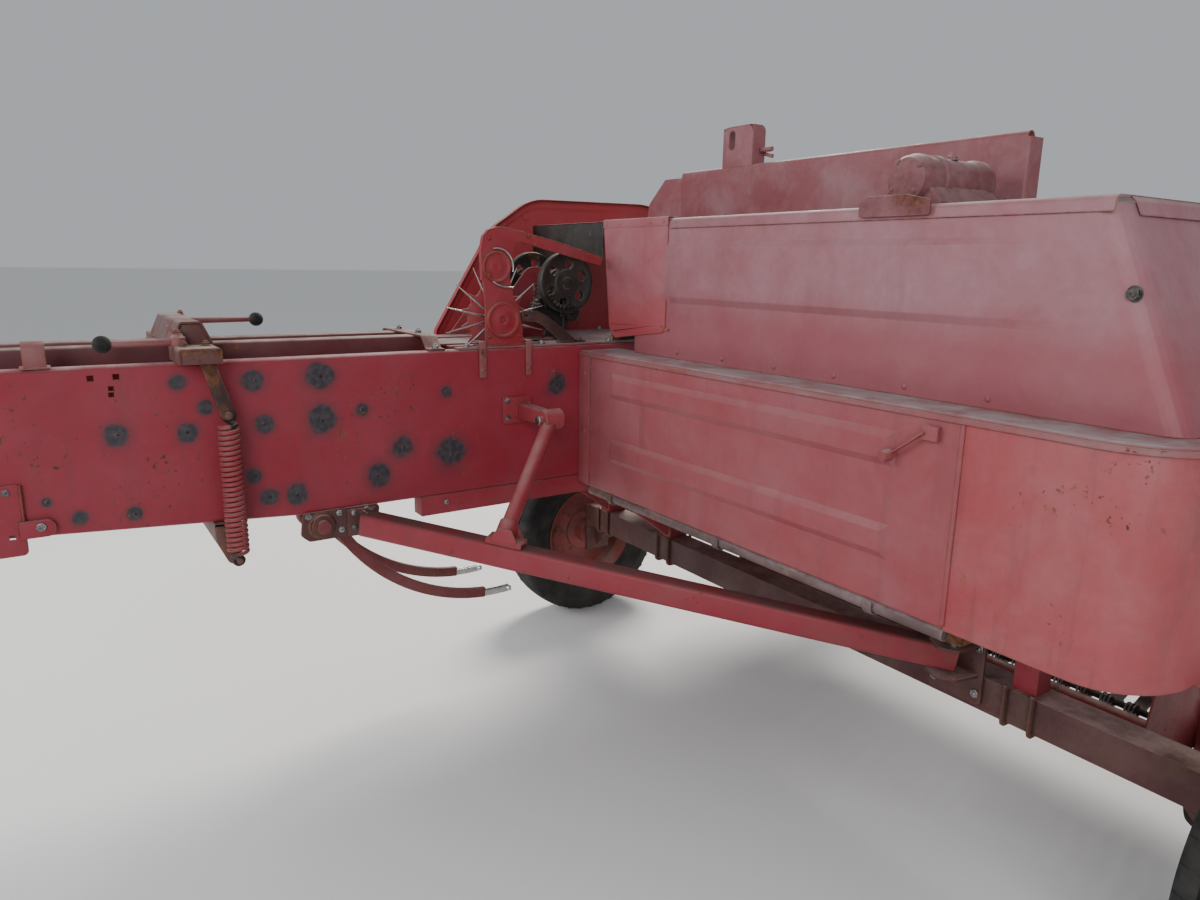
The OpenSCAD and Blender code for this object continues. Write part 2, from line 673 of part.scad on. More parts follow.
// Half of the tyre's section, from the bead over the shoulder to the tread's middle
module tyre() {
    w = tyre_w / 2;
    rotate([0, 90, 0]) rotate_extrude($fn = 64) {
        difference() {
            polygon([[rim_r + seat, -w + 24], [rim_r + 45, -w + 4], [rim_r + 85, -w], [tyre_r - 28, -w + 6],
                [tyre_r - 6, -w + 26], [tyre_r, -w + 50], [tyre_r, w - 50], [tyre_r - 6, w - 26],
                [tyre_r - 28, w - 6], [rim_r + 85, w], [rim_r + 45, w - 4], [rim_r + seat, w - 24]]);
            for (x = [-32, 0, 32])
                translate([tyre_r - 9, x - 4]) square([20, 8]);
        }
    }
}

// The rim, its dished disc and the hub, with its outer side toward +X
module rim() {
    w = tyre_w / 2;
    rotate([0, 90, 0]) difference() {
        union() {
            rotate_extrude($fn = 64) {
                polygon([[rim_r - 6, -w + 22], [rim_r, -w + 24], [rim_r, -w + 40], [rim_r - 22, -30],
                    [rim_r - 22, 30], [rim_r, w - 40], [rim_r, w - 24], [rim_r - 6, w - 22],
                    [rim_r - 28, w - 60], [rim_r - 28, -w + 60]]);
                polygon([[60, -6], [rim_r - 60, 22], [rim_r - 26, 18], [rim_r - 26, 24], [rim_r - 64, 29],
                    [60, 2]]);
            }
            translate([0, 0, -55]) cylinder(r = 48, h = 100);
            translate([0, 0, -8]) cylinder(r = 85, h = 14);
            for (i = [0 : 4])
                rotate([0, 0, i * 72]) translate([66, 0, 4]) cylinder(r = 11, h = 14, $fn = 6);
        }
        translate([0, 0, -60]) cylinder(r = 20.4, h = 90);
    }
}

module tyre_left() color("black") placed() translate([left_wheel_x, axle_y, tyre_r]) tyre();
module rim_left() color("firebrick") placed()
    translate([left_wheel_x, axle_y, tyre_r]) mirror([1, 0, 0]) rim();
module tyre_right() color("black") placed() translate([right_wheel_x, axle_y, tyre_r]) tyre();
module rim_right() color("firebrick") placed() translate([right_wheel_x, axle_y, tyre_r]) rim();

band_r = reel_r + 26;
band_w = 38;
band_t = 3;
band_high = 108;
band_low = -102;
band_lean = 30;
tie_r = 18;
tie_y = reel_y - 302;
tie_z = reel_z - 50;
side_t = 5;

module pickup_frame() color("firebrick") placed() {
    for (x = [pickup_x0 - side_t, pickup_x1])
        along_x(x, x + side_t) difference() {
            union() {
                translate([reel_y, reel_z]) circle(r = band_r + 14);
                polygon([[hinge_y - 26, hinge_z + 24], [hinge_y + 40, hinge_z + 30],
                    [reel_y + 20, reel_z + band_r + 13], [reel_y, reel_z - band_r - 13],
                    [tie_y - 34, tie_z - 34], [tie_y - 34, tie_z + 20]]);
            }
            translate([reel_y, reel_z]) circle(r = 20.3);
        }
    disc_x(pickup_x0 - 1, pickup_x1 + 1, hinge_y, hinge_z, hinge_r);
    disc_x(pickup_x0 - 1, pickup_x1 + 1, tie_y, tie_z, tie_r);
    span([pickup_x1 + side_t - 1, pickup_x1 + 30], [reel_y - 25, reel_y + 25], [185, reel_z - 60]);
    disc_x(pickup_x1 + 20, pickup_x1 + 95, reel_y, 205, 12);
}

module stripper_bands() color("brown") placed() {
    c = [reel_y, reel_z];
    hinge_c = [hinge_y, hinge_z];
    tie_c = [tie_y, tie_z];
    lean = [sin(band_lean), cos(band_lean)];
    high = [cos(band_high), sin(band_high)];
    low = [cos(band_low), sin(band_low)];
    for (i = [0 : band_count - 1]) {
        x = pickup_x0 + (i + 0.5) * band_pitch;
        along_x(x - band_w / 2, x + band_w / 2) {
            translate(c) sector(band_r - band_t, band_r, band_low, band_high);
            polygon([c + band_r * high, c + (band_r - band_t) * high,
                hinge_c + (hinge_r + seat) * lean, hinge_c + (hinge_r + seat + band_t) * lean]);
            polygon([c + band_r * low, c + (band_r - band_t) * low,
                tie_c - (tie_r + seat) * lean, tie_c - (tie_r + seat + band_t) * lean]);
        }
    }
}

module pickup_reel() color("gray") placed() {
    disc_x(pickup_x0 - 22, pickup_x1 + 22, reel_y, reel_z, 20);
    for (x = [pickup_x0 + 8, pickup_x0 + pickup_w / 2 - 3, pickup_x1 - 14])
        difference() {
            disc_x(x, x + 6, reel_y, reel_z, reel_r + 12);
            for (a = [360 / tine_bars / 2 : 360 / tine_bars : 359])
                disc_x(x - 1, x + 7, reel_y + 90 * cos(a + 90), reel_z + 90 * sin(a + 90), 34);
        }
    translate([0, reel_y, reel_z]) for (a = [0 : 360 / tine_bars : 359]) rotate([a, 0, 0]) {
        disc_x(pickup_x0 + 6, pickup_x1 - 6, 0, reel_r, 9);
        for (i = [1 : band_count - 1]) {
            x = pickup_x0 + i * band_pitch;
            translate([x, 0, reel_r]) rotate([-12, 0, 0]) cylinder(r = 3.2, h = tine_len, $fn = 6);
        }
    }
}

module gauge_wheel() color("dimgray") placed() {
    translate([pickup_x1 + 62, reel_y, 205]) rotate([0, 90, 0]) difference() {
        rotate_extrude() polygon([[12.5, -30], [40, -30], [40, -8], [98, -8], [98, -30], [130, -26],
            [135, -16], [135, 16], [130, 26], [98, 30], [98, 8], [40, 8], [40, 30], [12.5, 30]]);
        for (i = [0 : 3])
            rotate([0, 0, i * 90]) translate([68, 0, -20]) cylinder(r = 16, h = 40);
    }
}

gear_front = chamber_front - 20;

module main_gearbox() color("dimgray") placed() {
    span([-150, 150], [chamber_front - 250, gear_front], [fly_z - 140, fly_z + 150]);
    disc_y(0, chamber_front - 40, chamber_front + 26, fly_z, 90);
    for (side = [-1, 1])
        disc_x(side > 0 ? 140 : -wall_x + wall_t, side > 0 ? wall_x - wall_t : -140,
            chamber_front - 135, fly_z, 75);
    span([-chamber_w / 2, chamber_w / 2], [chamber_front - 270, chamber_front - 250],
        [chamber_z + 2 * wall_t, fly_z + 100]);
}

fly_y = chamber_front + 50;

module flywheel() color("firebrick") placed() {
    difference() {
        union() {
            disc_y(0, fly_y, fly_y + fly_w, fly_z, fly_r);
            disc_y(0, chamber_front + 26 + seat, fly_y + fly_w + 60, fly_z, 46);
        }
        for (y = [fly_y - 1, fly_y + fly_w - 22])
            difference() {
                disc_y(0, y, y + 23, fly_z, fly_r - 45);
                disc_y(0, y - 1, y + 24, fly_z, 80);
            }
        for (i = [0 : 3])
            disc_y(170 * cos(45 + 90 * i), fly_y - 1, fly_y + fly_w + 1,
                fly_z + 170 * sin(45 + 90 * i), 40);
    }
}

module plunger() color("dimgray") placed() {
    x = chamber_w / 2 - 6;
    span([-x, x], [feed_front - 20, feed_front + 150], [chamber_z + 2 * wall_t, chamber_top - 22]);
}

pivot_y = chamber_front - 100;
pivot_z = 594;
pin_r = 20;
beam_s = 90;

module drawbar_bracket() color("maroon") placed() {
    for (z = [pivot_z - 75, pivot_z + 57])
        span([-75, 75], [pivot_y - 140, pivot_y + 60], [z, z + 18]);
    for (x = [-75, 60])
        span([x, x + 15], [pivot_y - 140, pivot_y - 75], [pivot_z - 75, chamber_z - sill_w]);
    span([-wall_x + 4, wall_x - 4], [pivot_y - 140, pivot_y - 75], [chamber_z - sill_w - 20, chamber_z - sill_w]);
    translate([0, pivot_y, pivot_z - 85]) cylinder(r = pin_r, h = 172);
}

module drawbar() color("maroon") placed() {
    difference() {
        union() {
            translate([0, pivot_y, pivot_z - 56.5]) cylinder(r = 52, h = 113);
            bar([0, pivot_y + 20, pivot_z], [0, hitch_y - 130, hitch_z], beam_s, beam_s);
            span([-40, 40], [hitch_y - 150, hitch_y], [hitch_z - 14, hitch_z + 14]);
            translate([0, hitch_y, hitch_z - 14]) cylinder(r = eye_r, h = 28);
        }
        translate([0, pivot_y, pivot_z - 90]) cylinder(r = pin_r + 0.4, h = 180);
        translate([0, hitch_y, hitch_z - 40]) cylinder(d = hitch_d, h = 80);
    }
    span([-45, 45], [2190, 2210], [470, pto_front[2] - 55]);
    span([-35, 35], [2185, 2215], [pto_front[2] - 55, pto_front[2] - 49]);
}

pto_rear = [0, fly_y + fly_w + 78, fly_z - 12];
pto_front = [0, 2200, 790];

jack_x = beam_s / 2 + 45;
jack_y = 2000;
jack_top = 640;
jack_low = 250;

module jack_tube() color("maroon") placed() {
    translate([jack_x, jack_y, jack_low]) difference() {
        cylinder(r = 34, h = jack_top - jack_low);
        translate([0, 0, -1]) cylinder(r = 28, h = jack_top - jack_low - 9);
    }
    span([beam_s / 2, jack_x - 29], [jack_y - 40, jack_y + 40], [440, 560]);
    rod([jack_x, jack_y, jack_top - 30], [jack_x + 110, jack_y, jack_top - 30], 8);
    rod([jack_x + 104, jack_y, jack_top - 30], [jack_x + 104, jack_y, jack_top + 60], 8);
}

module jack_leg() color("silver") placed() {
    translate([jack_x, jack_y, 0]) {
        cylinder(r = 80, h = 10);
        cylinder(r = 27.7, h = 390);
    }
}

module pto_shaft() color("black") placed() {
    far = pto_rear + (pto_front - pto_rear) * 1.14;
    rod(pto_rear, far, 42);
    rod(pto_rear + (far - pto_rear) * 0.52, pto_rear + (far - pto_rear) * 0.98, 44);
    toward(pto_rear, far) translate([0, 0, norm(far - pto_rear) - 1]) difference() {
        cylinder(r = 40, h = 90);
        translate([0, 0, 10]) cylinder(r = 17.5, h = 100);
    }
}

chamber_right_wall();
chamber_left_wall();
chamber_floor();
chamber_deck();
top_rails();
rear_plates();
tension_frame();
tension_springs();
tension_cranks();
knotter_frame();
knotters();
star_wheel();
needle_yoke();
yoke_bearings();
house_rear_panel();
twine_box();
house_shelf();
house_floor();
upper_panel();
upper_end();
upper_roof();
left_flap();
front_hood();
feeder_gearbox();
feed_auger();
house_pipe();
left_shield();
axle_beam();
pedestals();
axle_brace();
brace_strut();
tyre_left();
rim_left();
tyre_right();
rim_right();
pickup_frame();
stripper_bands();
pickup_reel();
gauge_wheel();
main_gearbox();
flywheel();
plunger();
drawbar_bracket();
drawbar();
jack_tube();
jack_leg();
pto_shaft();
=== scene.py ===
import json
import math

import bmesh
import bpy
from mathutils import Matrix, Vector


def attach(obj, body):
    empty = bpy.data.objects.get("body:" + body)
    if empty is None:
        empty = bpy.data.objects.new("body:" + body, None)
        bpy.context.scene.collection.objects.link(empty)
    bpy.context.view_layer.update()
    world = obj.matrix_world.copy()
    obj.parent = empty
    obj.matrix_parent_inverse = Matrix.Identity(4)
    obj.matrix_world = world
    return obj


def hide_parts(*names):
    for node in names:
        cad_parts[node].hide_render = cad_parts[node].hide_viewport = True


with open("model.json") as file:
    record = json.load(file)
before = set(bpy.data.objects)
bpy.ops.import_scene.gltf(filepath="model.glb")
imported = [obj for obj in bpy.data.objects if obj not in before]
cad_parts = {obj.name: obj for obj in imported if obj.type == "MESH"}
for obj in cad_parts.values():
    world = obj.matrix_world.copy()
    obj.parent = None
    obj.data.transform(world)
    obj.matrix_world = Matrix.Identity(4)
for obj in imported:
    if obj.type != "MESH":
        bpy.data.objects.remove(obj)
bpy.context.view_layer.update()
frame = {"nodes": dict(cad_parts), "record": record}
nodes = frame["nodes"]
bodyOfNode = {n: b for b, group in frame["record"]["behaviour"]["bodies"].items() for n in group}
scene = bpy.context.scene
bpy.ops.object.select_all(action="DESELECT")
print("frame loaded:", len(nodes), "nodes")

shift = Vector((-0.851, -0.354, 0.0))  # machine frame to the model's frame

# camera and light

view = {
    "place": Vector((2.564, -1.488, 1.5)),
    "right": Vector((0.5567, 0.8306, 0.0157)),
    "up": Vector((-0.1883, 0.1077, 0.9762)),
    "back": Vector((0.8091, -0.5464, 0.2164)),
    "lens": 25.26,
}


def makeCamera():
    data = bpy.data.cameras.new("photoCamera")
    data.lens = view["lens"]
    data.sensor_width = 36.0
    data.clip_start = 0.05
    camera = bpy.data.objects.new("photoCamera", data)
    scene.collection.objects.link(camera)
    turn = Matrix((view["right"], view["up"], view["back"])).transposed().to_4x4()
    camera.matrix_world = Matrix.Translation(view["place"] + shift) @ turn
    scene.camera = camera


def addAreaLight(name, place, target, size, power, colour):
    data = bpy.data.lights.new(name, "AREA")
    data.shape = "DISK"
    data.size = size
    data.energy = power
    data.color = colour
    lamp = bpy.data.objects.new(name, data)
    scene.collection.objects.link(lamp)
    lamp.location = place
    lamp.rotation_mode = "QUATERNION"
    lamp.rotation_quaternion = (Vector(place) - Vector(target)).to_track_quat("Z", "Y")


def makeStudio():
    world = bpy.data.worlds.new("studioSky")
    world.use_nodes = True
    world.node_tree.nodes["Background"].inputs["Color"].default_value = (0.86, 0.9, 0.95, 1)
    world.node_tree.nodes["Background"].inputs["Strength"].default_value = 0.5
    scene.world = world
    addAreaLight("keyLight", (-4.2, 3.4, 6.0), (0, 0, 0.8), 3.2, 620, (1.0, 0.95, 0.86))
    addAreaLight("fillLight", (5.5, -5.5, 3.6), (0, 0, 0.9), 4.5, 330, (0.96, 0.97, 1.0))
    addAreaLight("rearLight", (-3.0, -6.5, 4.0), (0, 0, 0.9), 3.5, 230, (0.95, 0.97, 1.0))
    bpy.ops.mesh.primitive_plane_add(size=240, location=(0, 0, -0.002))
    floor = bpy.context.object
    floor.name = "studioFloor"
    plain = bpy.data.materials.new("studioFloorGrey")
    plain.use_nodes = True
    shader = plain.node_tree.nodes["Principled BSDF"]
    shader.inputs["Base Color"].default_value = (0.8, 0.8, 0.79, 1)
    shader.inputs["Roughness"].default_value = 0.85
    floor.data.materials.append(plain)


makeCamera()
makeStudio()
print("camera and studio made")

# finishes


# adds shader nodes one after another, so that a finish reads as a list of layers
class Finish:
    def __init__(self, name):
        self.material = bpy.data.materials.new(name)
        self.material.use_nodes = True
        self.tree = self.material.node_tree
        self.shader = self.tree.nodes["Principled BSDF"]
        self.coords = self.add("ShaderNodeTexCoord").outputs["Object"]
        self.normal = self.add("ShaderNodeNewGeometry").outputs["Normal"]
        self.bumps = []

    # a new node, with its inputs by name or number and its settings by name
    def add(self, kind, inputs=(), **settings):
        node = self.tree.nodes.new(kind)
        for key, value in settings.items():
            setattr(node, key, value)
        for key, value in dict(inputs).items():
            self.put(node.inputs[key], value)
        return node

    def put(self, socket, value):
        if hasattr(value, "is_linked"):
            self.tree.links.new(value, socket)
        else:
            socket.default_value = (*value, 1) if socket.type == "RGBA" else value

    def stretched(self, scale):
        return self.add("ShaderNodeMapping", {"Vector": self.coords, "Scale": scale}).outputs["Vector"]

    def grain(self, scale, detail=4.0, rough=0.55, coords=None, distortion=0.0):
        inputs = {"Vector": coords or self.coords, "Scale": scale, "Detail": detail, "Roughness": rough}
        return self.add("ShaderNodeTexNoise", {**inputs, "Distortion": distortion}).outputs["Fac"]

    def spread(self, value, low, high, to=(0.0, 1.0)):
        inputs = {"Value": value, "From Min": low, "From Max": high, "To Min": to[0], "To Max": to[1]}
        return self.add("ShaderNodeMapRange", inputs, clamp=True).outputs["Result"]

    def math(self, kind, a, b=0.0, clamp=False):
        return self.add("ShaderNodeMath", {0: a, 1: b}, operation=kind, use_clamp=clamp).outputs[0]

    def times(self, a, b):
        return self.math("MULTIPLY", a, b)

    def vector(self, kind, *values):
        return self.add("ShaderNodeVectorMath", dict(enumerate(values)), operation=kind)

    def mix(self, share, a, b):
        return self.add("ShaderNodeMix", {"Factor": share, 6: a, 7: b}, data_type="RGBA").outputs[2]

    def part(self, vector, index):
        return self.add("ShaderNodeSeparateXYZ", {0: vector}).outputs[index]

    def upward(self, low=0.45, high=0.95):
        return self.spread(self.part(self.normal, 2), low, high)

    def edges(self, radius, low=0.02, high=0.12):
        rounded = self.add("ShaderNodeBevel", {"Radius": radius}, samples=4).outputs["Normal"]
        dot = self.vector("DOT_PRODUCT", rounded, self.normal).outputs["Value"]
        return self.spread(self.math("SUBTRACT", 1.0, dot), low, high)

    def bump(self, height, distance, strength=1.0):
        self.bumps.append({"Distance": distance, "Strength": strength, "Height": height})

    def done(self, colour, roughness, metallic=0.0, specular=0.4):
        inputs = {}
        for bump in self.bumps:
            inputs = {"Normal": self.add("ShaderNodeBump", {**bump, **inputs}).outputs["Normal"]}
        inputs.update({"Base Color": colour, "Roughness": roughness, "Metallic": metallic})
        for key, value in {**inputs, "Specular IOR Level": specular}.items():
            self.put(self.shader.inputs[key], value)
        return self.material


def rustColour(f):
    fine = f.grain(55, 6, 0.7)
    deep = f.mix(f.spread(fine, 0.35, 0.62), (0.045, 0.02, 0.013), (0.17, 0.06, 0.025))
    return f.mix(f.spread(f.grain(14, 5, 0.65), 0.5, 0.72), deep, (0.27, 0.115, 0.05))


def paintFinish(name, look):
    f = Finish(name)
    broad = f.grain(1.7, 5, 0.6)
    colour = f.mix(f.spread(broad, 0.36, 0.66), look["deep"], look["faded"])
    haze = f.times(f.spread(f.grain(5.5, 7, 0.68, distortion=0.4), 0.42, 0.7), look["haze"])
    colour = f.mix(haze, colour, look["hazeColour"])
    mottle = f.spread(f.grain(42, 4, 0.6), 0.35, 0.7)
    colour = f.mix(f.times(mottle, 0.14), colour, look["dirt"])
    runs = f.spread(f.grain(1.0, 5, 0.62, coords=f.stretched((17, 17, 1.1))), 0.53, 0.78)
    colour = f.mix(f.times(runs, look["runs"]), colour, look["dirt"])
    if "zone" in look:
        start, end, zoneColour, amount = look["zone"]
        share = f.times(f.spread(f.part(f.coords, 2), start, end), amount)
        colour = f.mix(share, colour, zoneColour)
    if look.get("cornerStain"):
        tall = f.spread(f.grain(1.0, 8, 0.74, coords=f.stretched((8, 8, 2.4))), 0.5, 0.6)
        place = f.spread(f.part(f.coords, 1), cornerStain["from"] + shift.y, cornerStain["to"] + shift.y)
        colour = f.mix(f.times(f.times(tall, place), 0.85), colour, cornerStain["colour"])
    # dark touch-up spots round the bolts, where the paint was gone over
    spots = None
    for y, z, radius in look.get("spots", []):
        away = f.vector("SUBTRACT", f.coords, (0.0, y + shift.y, z)).outputs[0]
        flat = f.vector("MULTIPLY", away, (0.0, 1.0, 1.0)).outputs[0]
        share = f.math("DIVIDE", f.vector("LENGTH", flat).outputs["Value"], radius)
        spots = share if spots is None else f.math("MINIMUM", spots, share)
    if spots is not None:
        ragged = f.math("ADD", spots, f.times(f.math("SUBTRACT", f.grain(13, 2, 0.45), 0.5), 1.2))
        inside = f.spread(ragged, 1.12, 0.8)
        smear = f.times(f.spread(ragged, 1.8, 0.9), 0.5)
        colour = f.mix(smear, colour, (0.085, 0.03, 0.036))
        grey = f.mix(f.spread(f.grain(60, 4), 0.4, 0.65), (0.018, 0.024, 0.03), (0.05, 0.048, 0.054))
        colour = f.mix(f.times(inside, 0.93), colour, grey)
    rust = rustColour(f)
    patches = f.spread(f.grain(look.get("patchScale", 4.2), 9, 0.72), 0.665 - look["rust"] * 0.1,
                       0.705 - look["rust"] * 0.1)
    chips = 0.0
    if look["chips"] > -1.0:
        chips = f.times(f.spread(f.grain(75, 3, 0.5), 0.64, 0.67),
                        f.spread(f.grain(6, 4), 0.5 - look["chips"] * 0.1, 0.62))
    worn = f.times(f.edges(look["edge"]), f.spread(f.grain(28, 5, 0.65), 0.62 - look["wear"] * 0.4,
                                                   0.72 - look["wear"] * 0.3))
    low = f.times(f.spread(f.part(f.coords, 2), 0.85, 0.35), f.spread(f.grain(9, 6, 0.7), 0.45, 0.62))
    bare = f.math("MAXIMUM", patches, f.math("MAXIMUM", chips, worn))
    colour = f.mix(f.times(low, look["lowDirt"]), colour, look["mud"])
    colour = f.mix(bare, colour, rust)
    settled = f.times(f.upward(), f.spread(f.grain(11, 7, 0.7), 0.3, 0.6))
    dustShare = f.times(settled, look["dust"])
    colour = f.mix(dustShare, colour, look["dustColour"])
    rough = f.spread(f.grain(8, 4), 0.3, 0.7, (look["gloss"], look["gloss"] + 0.16))
    rough = f.math("ADD", rough, f.times(f.math("MAXIMUM", bare, dustShare), 0.3), clamp=True)
    f.bump(f.grain(2.6, 2, 0.4), 0.012, 0.35 * look.get("dents", 1.0))
    f.bump(bare, -0.0006, 0.8)
    f.bump(f.grain(180, 3, 0.6), 0.0006, 0.35)
    return f.done(colour, rough, 0.0, 0.38)


def metalFinish(name, look):
    f = Finish(name)
    colour = f.mix(f.spread(f.grain(7, 6, 0.65), 0.38, 0.64), look["deep"], look["light"])
    colour = f.mix(f.times(f.spread(f.grain(60, 5, 0.6), 0.4, 0.65), 0.35), colour, look["grime"])
    rust = rustColour(f)
    share = f.spread(f.grain(6.5, 9, 0.72), 0.66 - look["rust"] * 0.3, 0.74 - look["rust"] * 0.22)
    colour = f.mix(share, colour, rust)
    worn = f.times(f.edges(0.004), f.spread(f.grain(34, 4), 0.4, 0.6))
    colour = f.mix(f.times(worn, look["wear"]), colour, look["worn"])
    dustShare = f.times(f.times(f.upward(), f.spread(f.grain(13, 6, 0.7), 0.32, 0.62)), look["dust"])
    colour = f.mix(dustShare, colour, look.get("dustColour", (0.3, 0.24, 0.17)))
    metal = f.times(f.math("SUBTRACT", 1.0, f.math("MAXIMUM", share, dustShare), clamp=True), look["metal"])
    rough = f.math("ADD", f.spread(f.grain(20, 4), 0.3, 0.7, (look["gloss"], look["gloss"] + 0.2)),
                   f.times(share, 0.3), clamp=True)
    f.bump(f.grain(90, 5, 0.65), 0.0012, look.get("pitting", 0.5))
    f.bump(share, 0.0005, 0.6)
    return f.done(colour, rough, metal, 0.4)


paintLook = {
    "deep": (0.245, 0.013, 0.022), "faded": (0.27, 0.03, 0.038), "haze": 0.35, "hazeColour": (0.28, 0.1, 0.11),
    "dirt": (0.1, 0.04, 0.038), "runs": 0.28, "rust": 0.1, "chips": 0.4, "wear": 0.6, "edge": 0.005,
    "lowDirt": 0.35, "mud": (0.13, 0.09, 0.065), "dust": 0.75, "dustColour": (0.33, 0.26, 0.23), "gloss": 0.44,
}

# every spot: y, z and radius on the chamber's wall
wallSpots = [
    (-1.013, 1.185, 0.029), (-0.843, 1.186, 0.037), (-1.340, 1.071, 0.029), (-1.186, 1.063, 0.025),
    (-0.997, 1.067, 0.026), (-0.845, 1.063, 0.040), (-0.732, 1.085, 0.020), (-0.615, 0.961, 0.035),
    (-0.695, 0.886, 0.034), (-0.460, 0.924, 0.046), (-0.090, 1.114, 0.033), (-0.474, 1.117, 0.020),
    (-0.924, 0.862, 0.028), (-0.995, 0.864, 0.027), (-1.030, 0.929, 0.021), (-1.320, 0.867, 0.016),
    (-1.436, 0.875, 0.016), (-1.500, 0.924, 0.011), (-1.197, 1.192, 0.019), (-1.138, 1.124, 0.018),
]

cornerStain = {"from": 0.03, "to": 0.2, "colour": (0.075, 0.05, 0.045)}

finishes = {}


def paint(key, name, slot, **changes):
    finishes[key] = paintFinish(name, {**paintLook, **changes})


def metal(key, name, slot, **look):
    finishes[key] = metalFinish(name, look)


def rubber(key, name, slot, deep, dusty):
    f = Finish(name)
    colour = f.mix(f.spread(f.grain(9, 6, 0.7), 0.38, 0.66), deep, dusty)
    colour = f.mix(f.times(f.spread(f.grain(3.2, 5, 0.6), 0.5, 0.72), 0.5), colour, (0.085, 0.07, 0.055))
    f.bump(f.grain(70, 5, 0.6), 0.0012, 0.4)
    finishes[key] = f.done(colour, f.spread(f.grain(15, 4), 0.3, 0.7, (0.72, 0.92)), 0.0, 0.3)


unworn = {"rust": -0.4, "chips": -1.0}  # the house's sheets: hazy, but hardly rusted
paleDust = (0.34, 0.25, 0.24)  # dust on the wall and on the casting

paint("wall", "chamberRed", "red_paint", deep=(0.235, 0.011, 0.024), faded=(0.26, 0.026, 0.042), haze=0.22,
      hazeColour=(0.26, 0.08, 0.095), spots=wallSpots, rust=0.0, chips=0.1, dust=1.0, dustColour=paleDust)
paint("red", "machineRed", "red_paint")
paint("shieldRed", "shieldRed", "red_paint", deep=(0.33, 0.018, 0.026), faded=(0.35, 0.04, 0.048), haze=0.2)
paint("house", "houseRed", "red_paint", deep=(0.255, 0.042, 0.05), faded=(0.27, 0.08, 0.09), haze=0.4,
      hazeColour=(0.27, 0.12, 0.13), dust=0.85, runs=0.4, **unworn)
paint("upper", "upperRed", "red_paint", deep=(0.26, 0.082, 0.095), faded=(0.295, 0.13, 0.148), haze=0.5,
      hazeColour=(0.32, 0.19, 0.208), runs=0.2, dust=1.0, dustColour=(0.36, 0.27, 0.26),
      zone=(1.44, 1.34, (0.25, 0.04, 0.048), 0.5), **unworn)
paint("flap", "flapRed", "red_paint", deep=(0.29, 0.06, 0.07), faded=(0.31, 0.1, 0.115), haze=0.55,
      hazeColour=(0.33, 0.18, 0.19), zone=(1.42, 1.3, (0.33, 0.03, 0.034), 0.6), **unworn)
paint("hood", "hoodRed", "red_paint", deep=(0.21, 0.045, 0.052), faded=(0.25, 0.09, 0.1), haze=0.65,
      hazeColour=(0.3, 0.18, 0.19), **unworn)
paint("box", "boxRed", "red_paint", deep=(0.3, 0.036, 0.042), faded=(0.32, 0.07, 0.075), haze=0.4,
      hazeColour=(0.32, 0.15, 0.155), rust=0.0, chips=-0.5, runs=0.7, cornerStain=True)
paint("shelf", "shelfRed", "worn_paint", deep=(0.22, 0.05, 0.055), faded=(0.26, 0.09, 0.095), haze=0.6,
      hazeColour=(0.27, 0.16, 0.165), rust=0.0, chips=-0.6, dust=1.1, dustColour=(0.31, 0.25, 0.245), wear=0.7)
paint("dusty", "dustyRed", "worn_paint", deep=(0.2, 0.04, 0.042), faded=(0.24, 0.085, 0.085), haze=0.7,
      hazeColour=(0.26, 0.16, 0.15), rust=0.8)
paint("brown", "rustyBrown", "worn_paint", deep=(0.08, 0.024, 0.024), faded=(0.12, 0.046, 0.042),
      hazeColour=(0.19, 0.12, 0.11), rust=1.3, chips=0.9, wear=0.9)
paint("springRed", "springRed", "red_paint", deep=(0.25, 0.014, 0.024), faded=(0.28, 0.035, 0.042), haze=0.2,
      edge=0.002)
paint("needleRed", "needleRed", "worn_paint", deep=(0.11, 0.014, 0.018), faded=(0.15, 0.03, 0.032), rust=0.6,
      wear=1.0)
paint("rail", "railMaroon", "worn_paint", deep=(0.085, 0.016, 0.02), faded=(0.13, 0.03, 0.035), haze=0.3,
      hazeColour=(0.2, 0.11, 0.1), rust=0.5, dust=0.9, wear=0.9)
paint("maroon", "frameMaroon", "worn_paint", deep=(0.1, 0.016, 0.022), faded=(0.15, 0.03, 0.034), haze=0.3,
      hazeColour=(0.2, 0.12, 0.11), rust=0.6, chips=0.6, wear=0.9)
paint("axle", "axleBrown", "worn_paint", deep=(0.05, 0.013, 0.014), faded=(0.085, 0.025, 0.025), haze=0.3,
      hazeColour=(0.15, 0.1, 0.085), rust=0.5, chips=0.5, wear=1.0, dust=1.0, dustColour=(0.36, 0.24, 0.22))
paint("brace", "braceRed", "red_paint", deep=(0.235, 0.012, 0.024), faded=(0.26, 0.026, 0.038), haze=0.2,
      rust=0.35, chips=0.3, wear=1.0, dust=1.0, dustColour=(0.11, 0.055, 0.05))
paint("strut", "strutRed", "red_paint", deep=(0.24, 0.014, 0.026), faded=(0.27, 0.032, 0.042), haze=0.25,
      rust=0.3, chips=0.2, wear=0.9, dust=0.6)
paint("bands", "bandSteel", "worn_paint", deep=(0.16, 0.05, 0.04), faded=(0.2, 0.09, 0.075), haze=0.4,
      hazeColour=(0.22, 0.19, 0.17), rust=0.9, chips=0.6, wear=0.9, runs=0.4)
paint("rimRed", "rimRed", "red_paint", deep=(0.22, 0.02, 0.022), faded=(0.25, 0.05, 0.045), haze=0.5,
      rust=0.6, chips=0.7, wear=0.8, mud=(0.12, 0.085, 0.06), lowDirt=0.6)

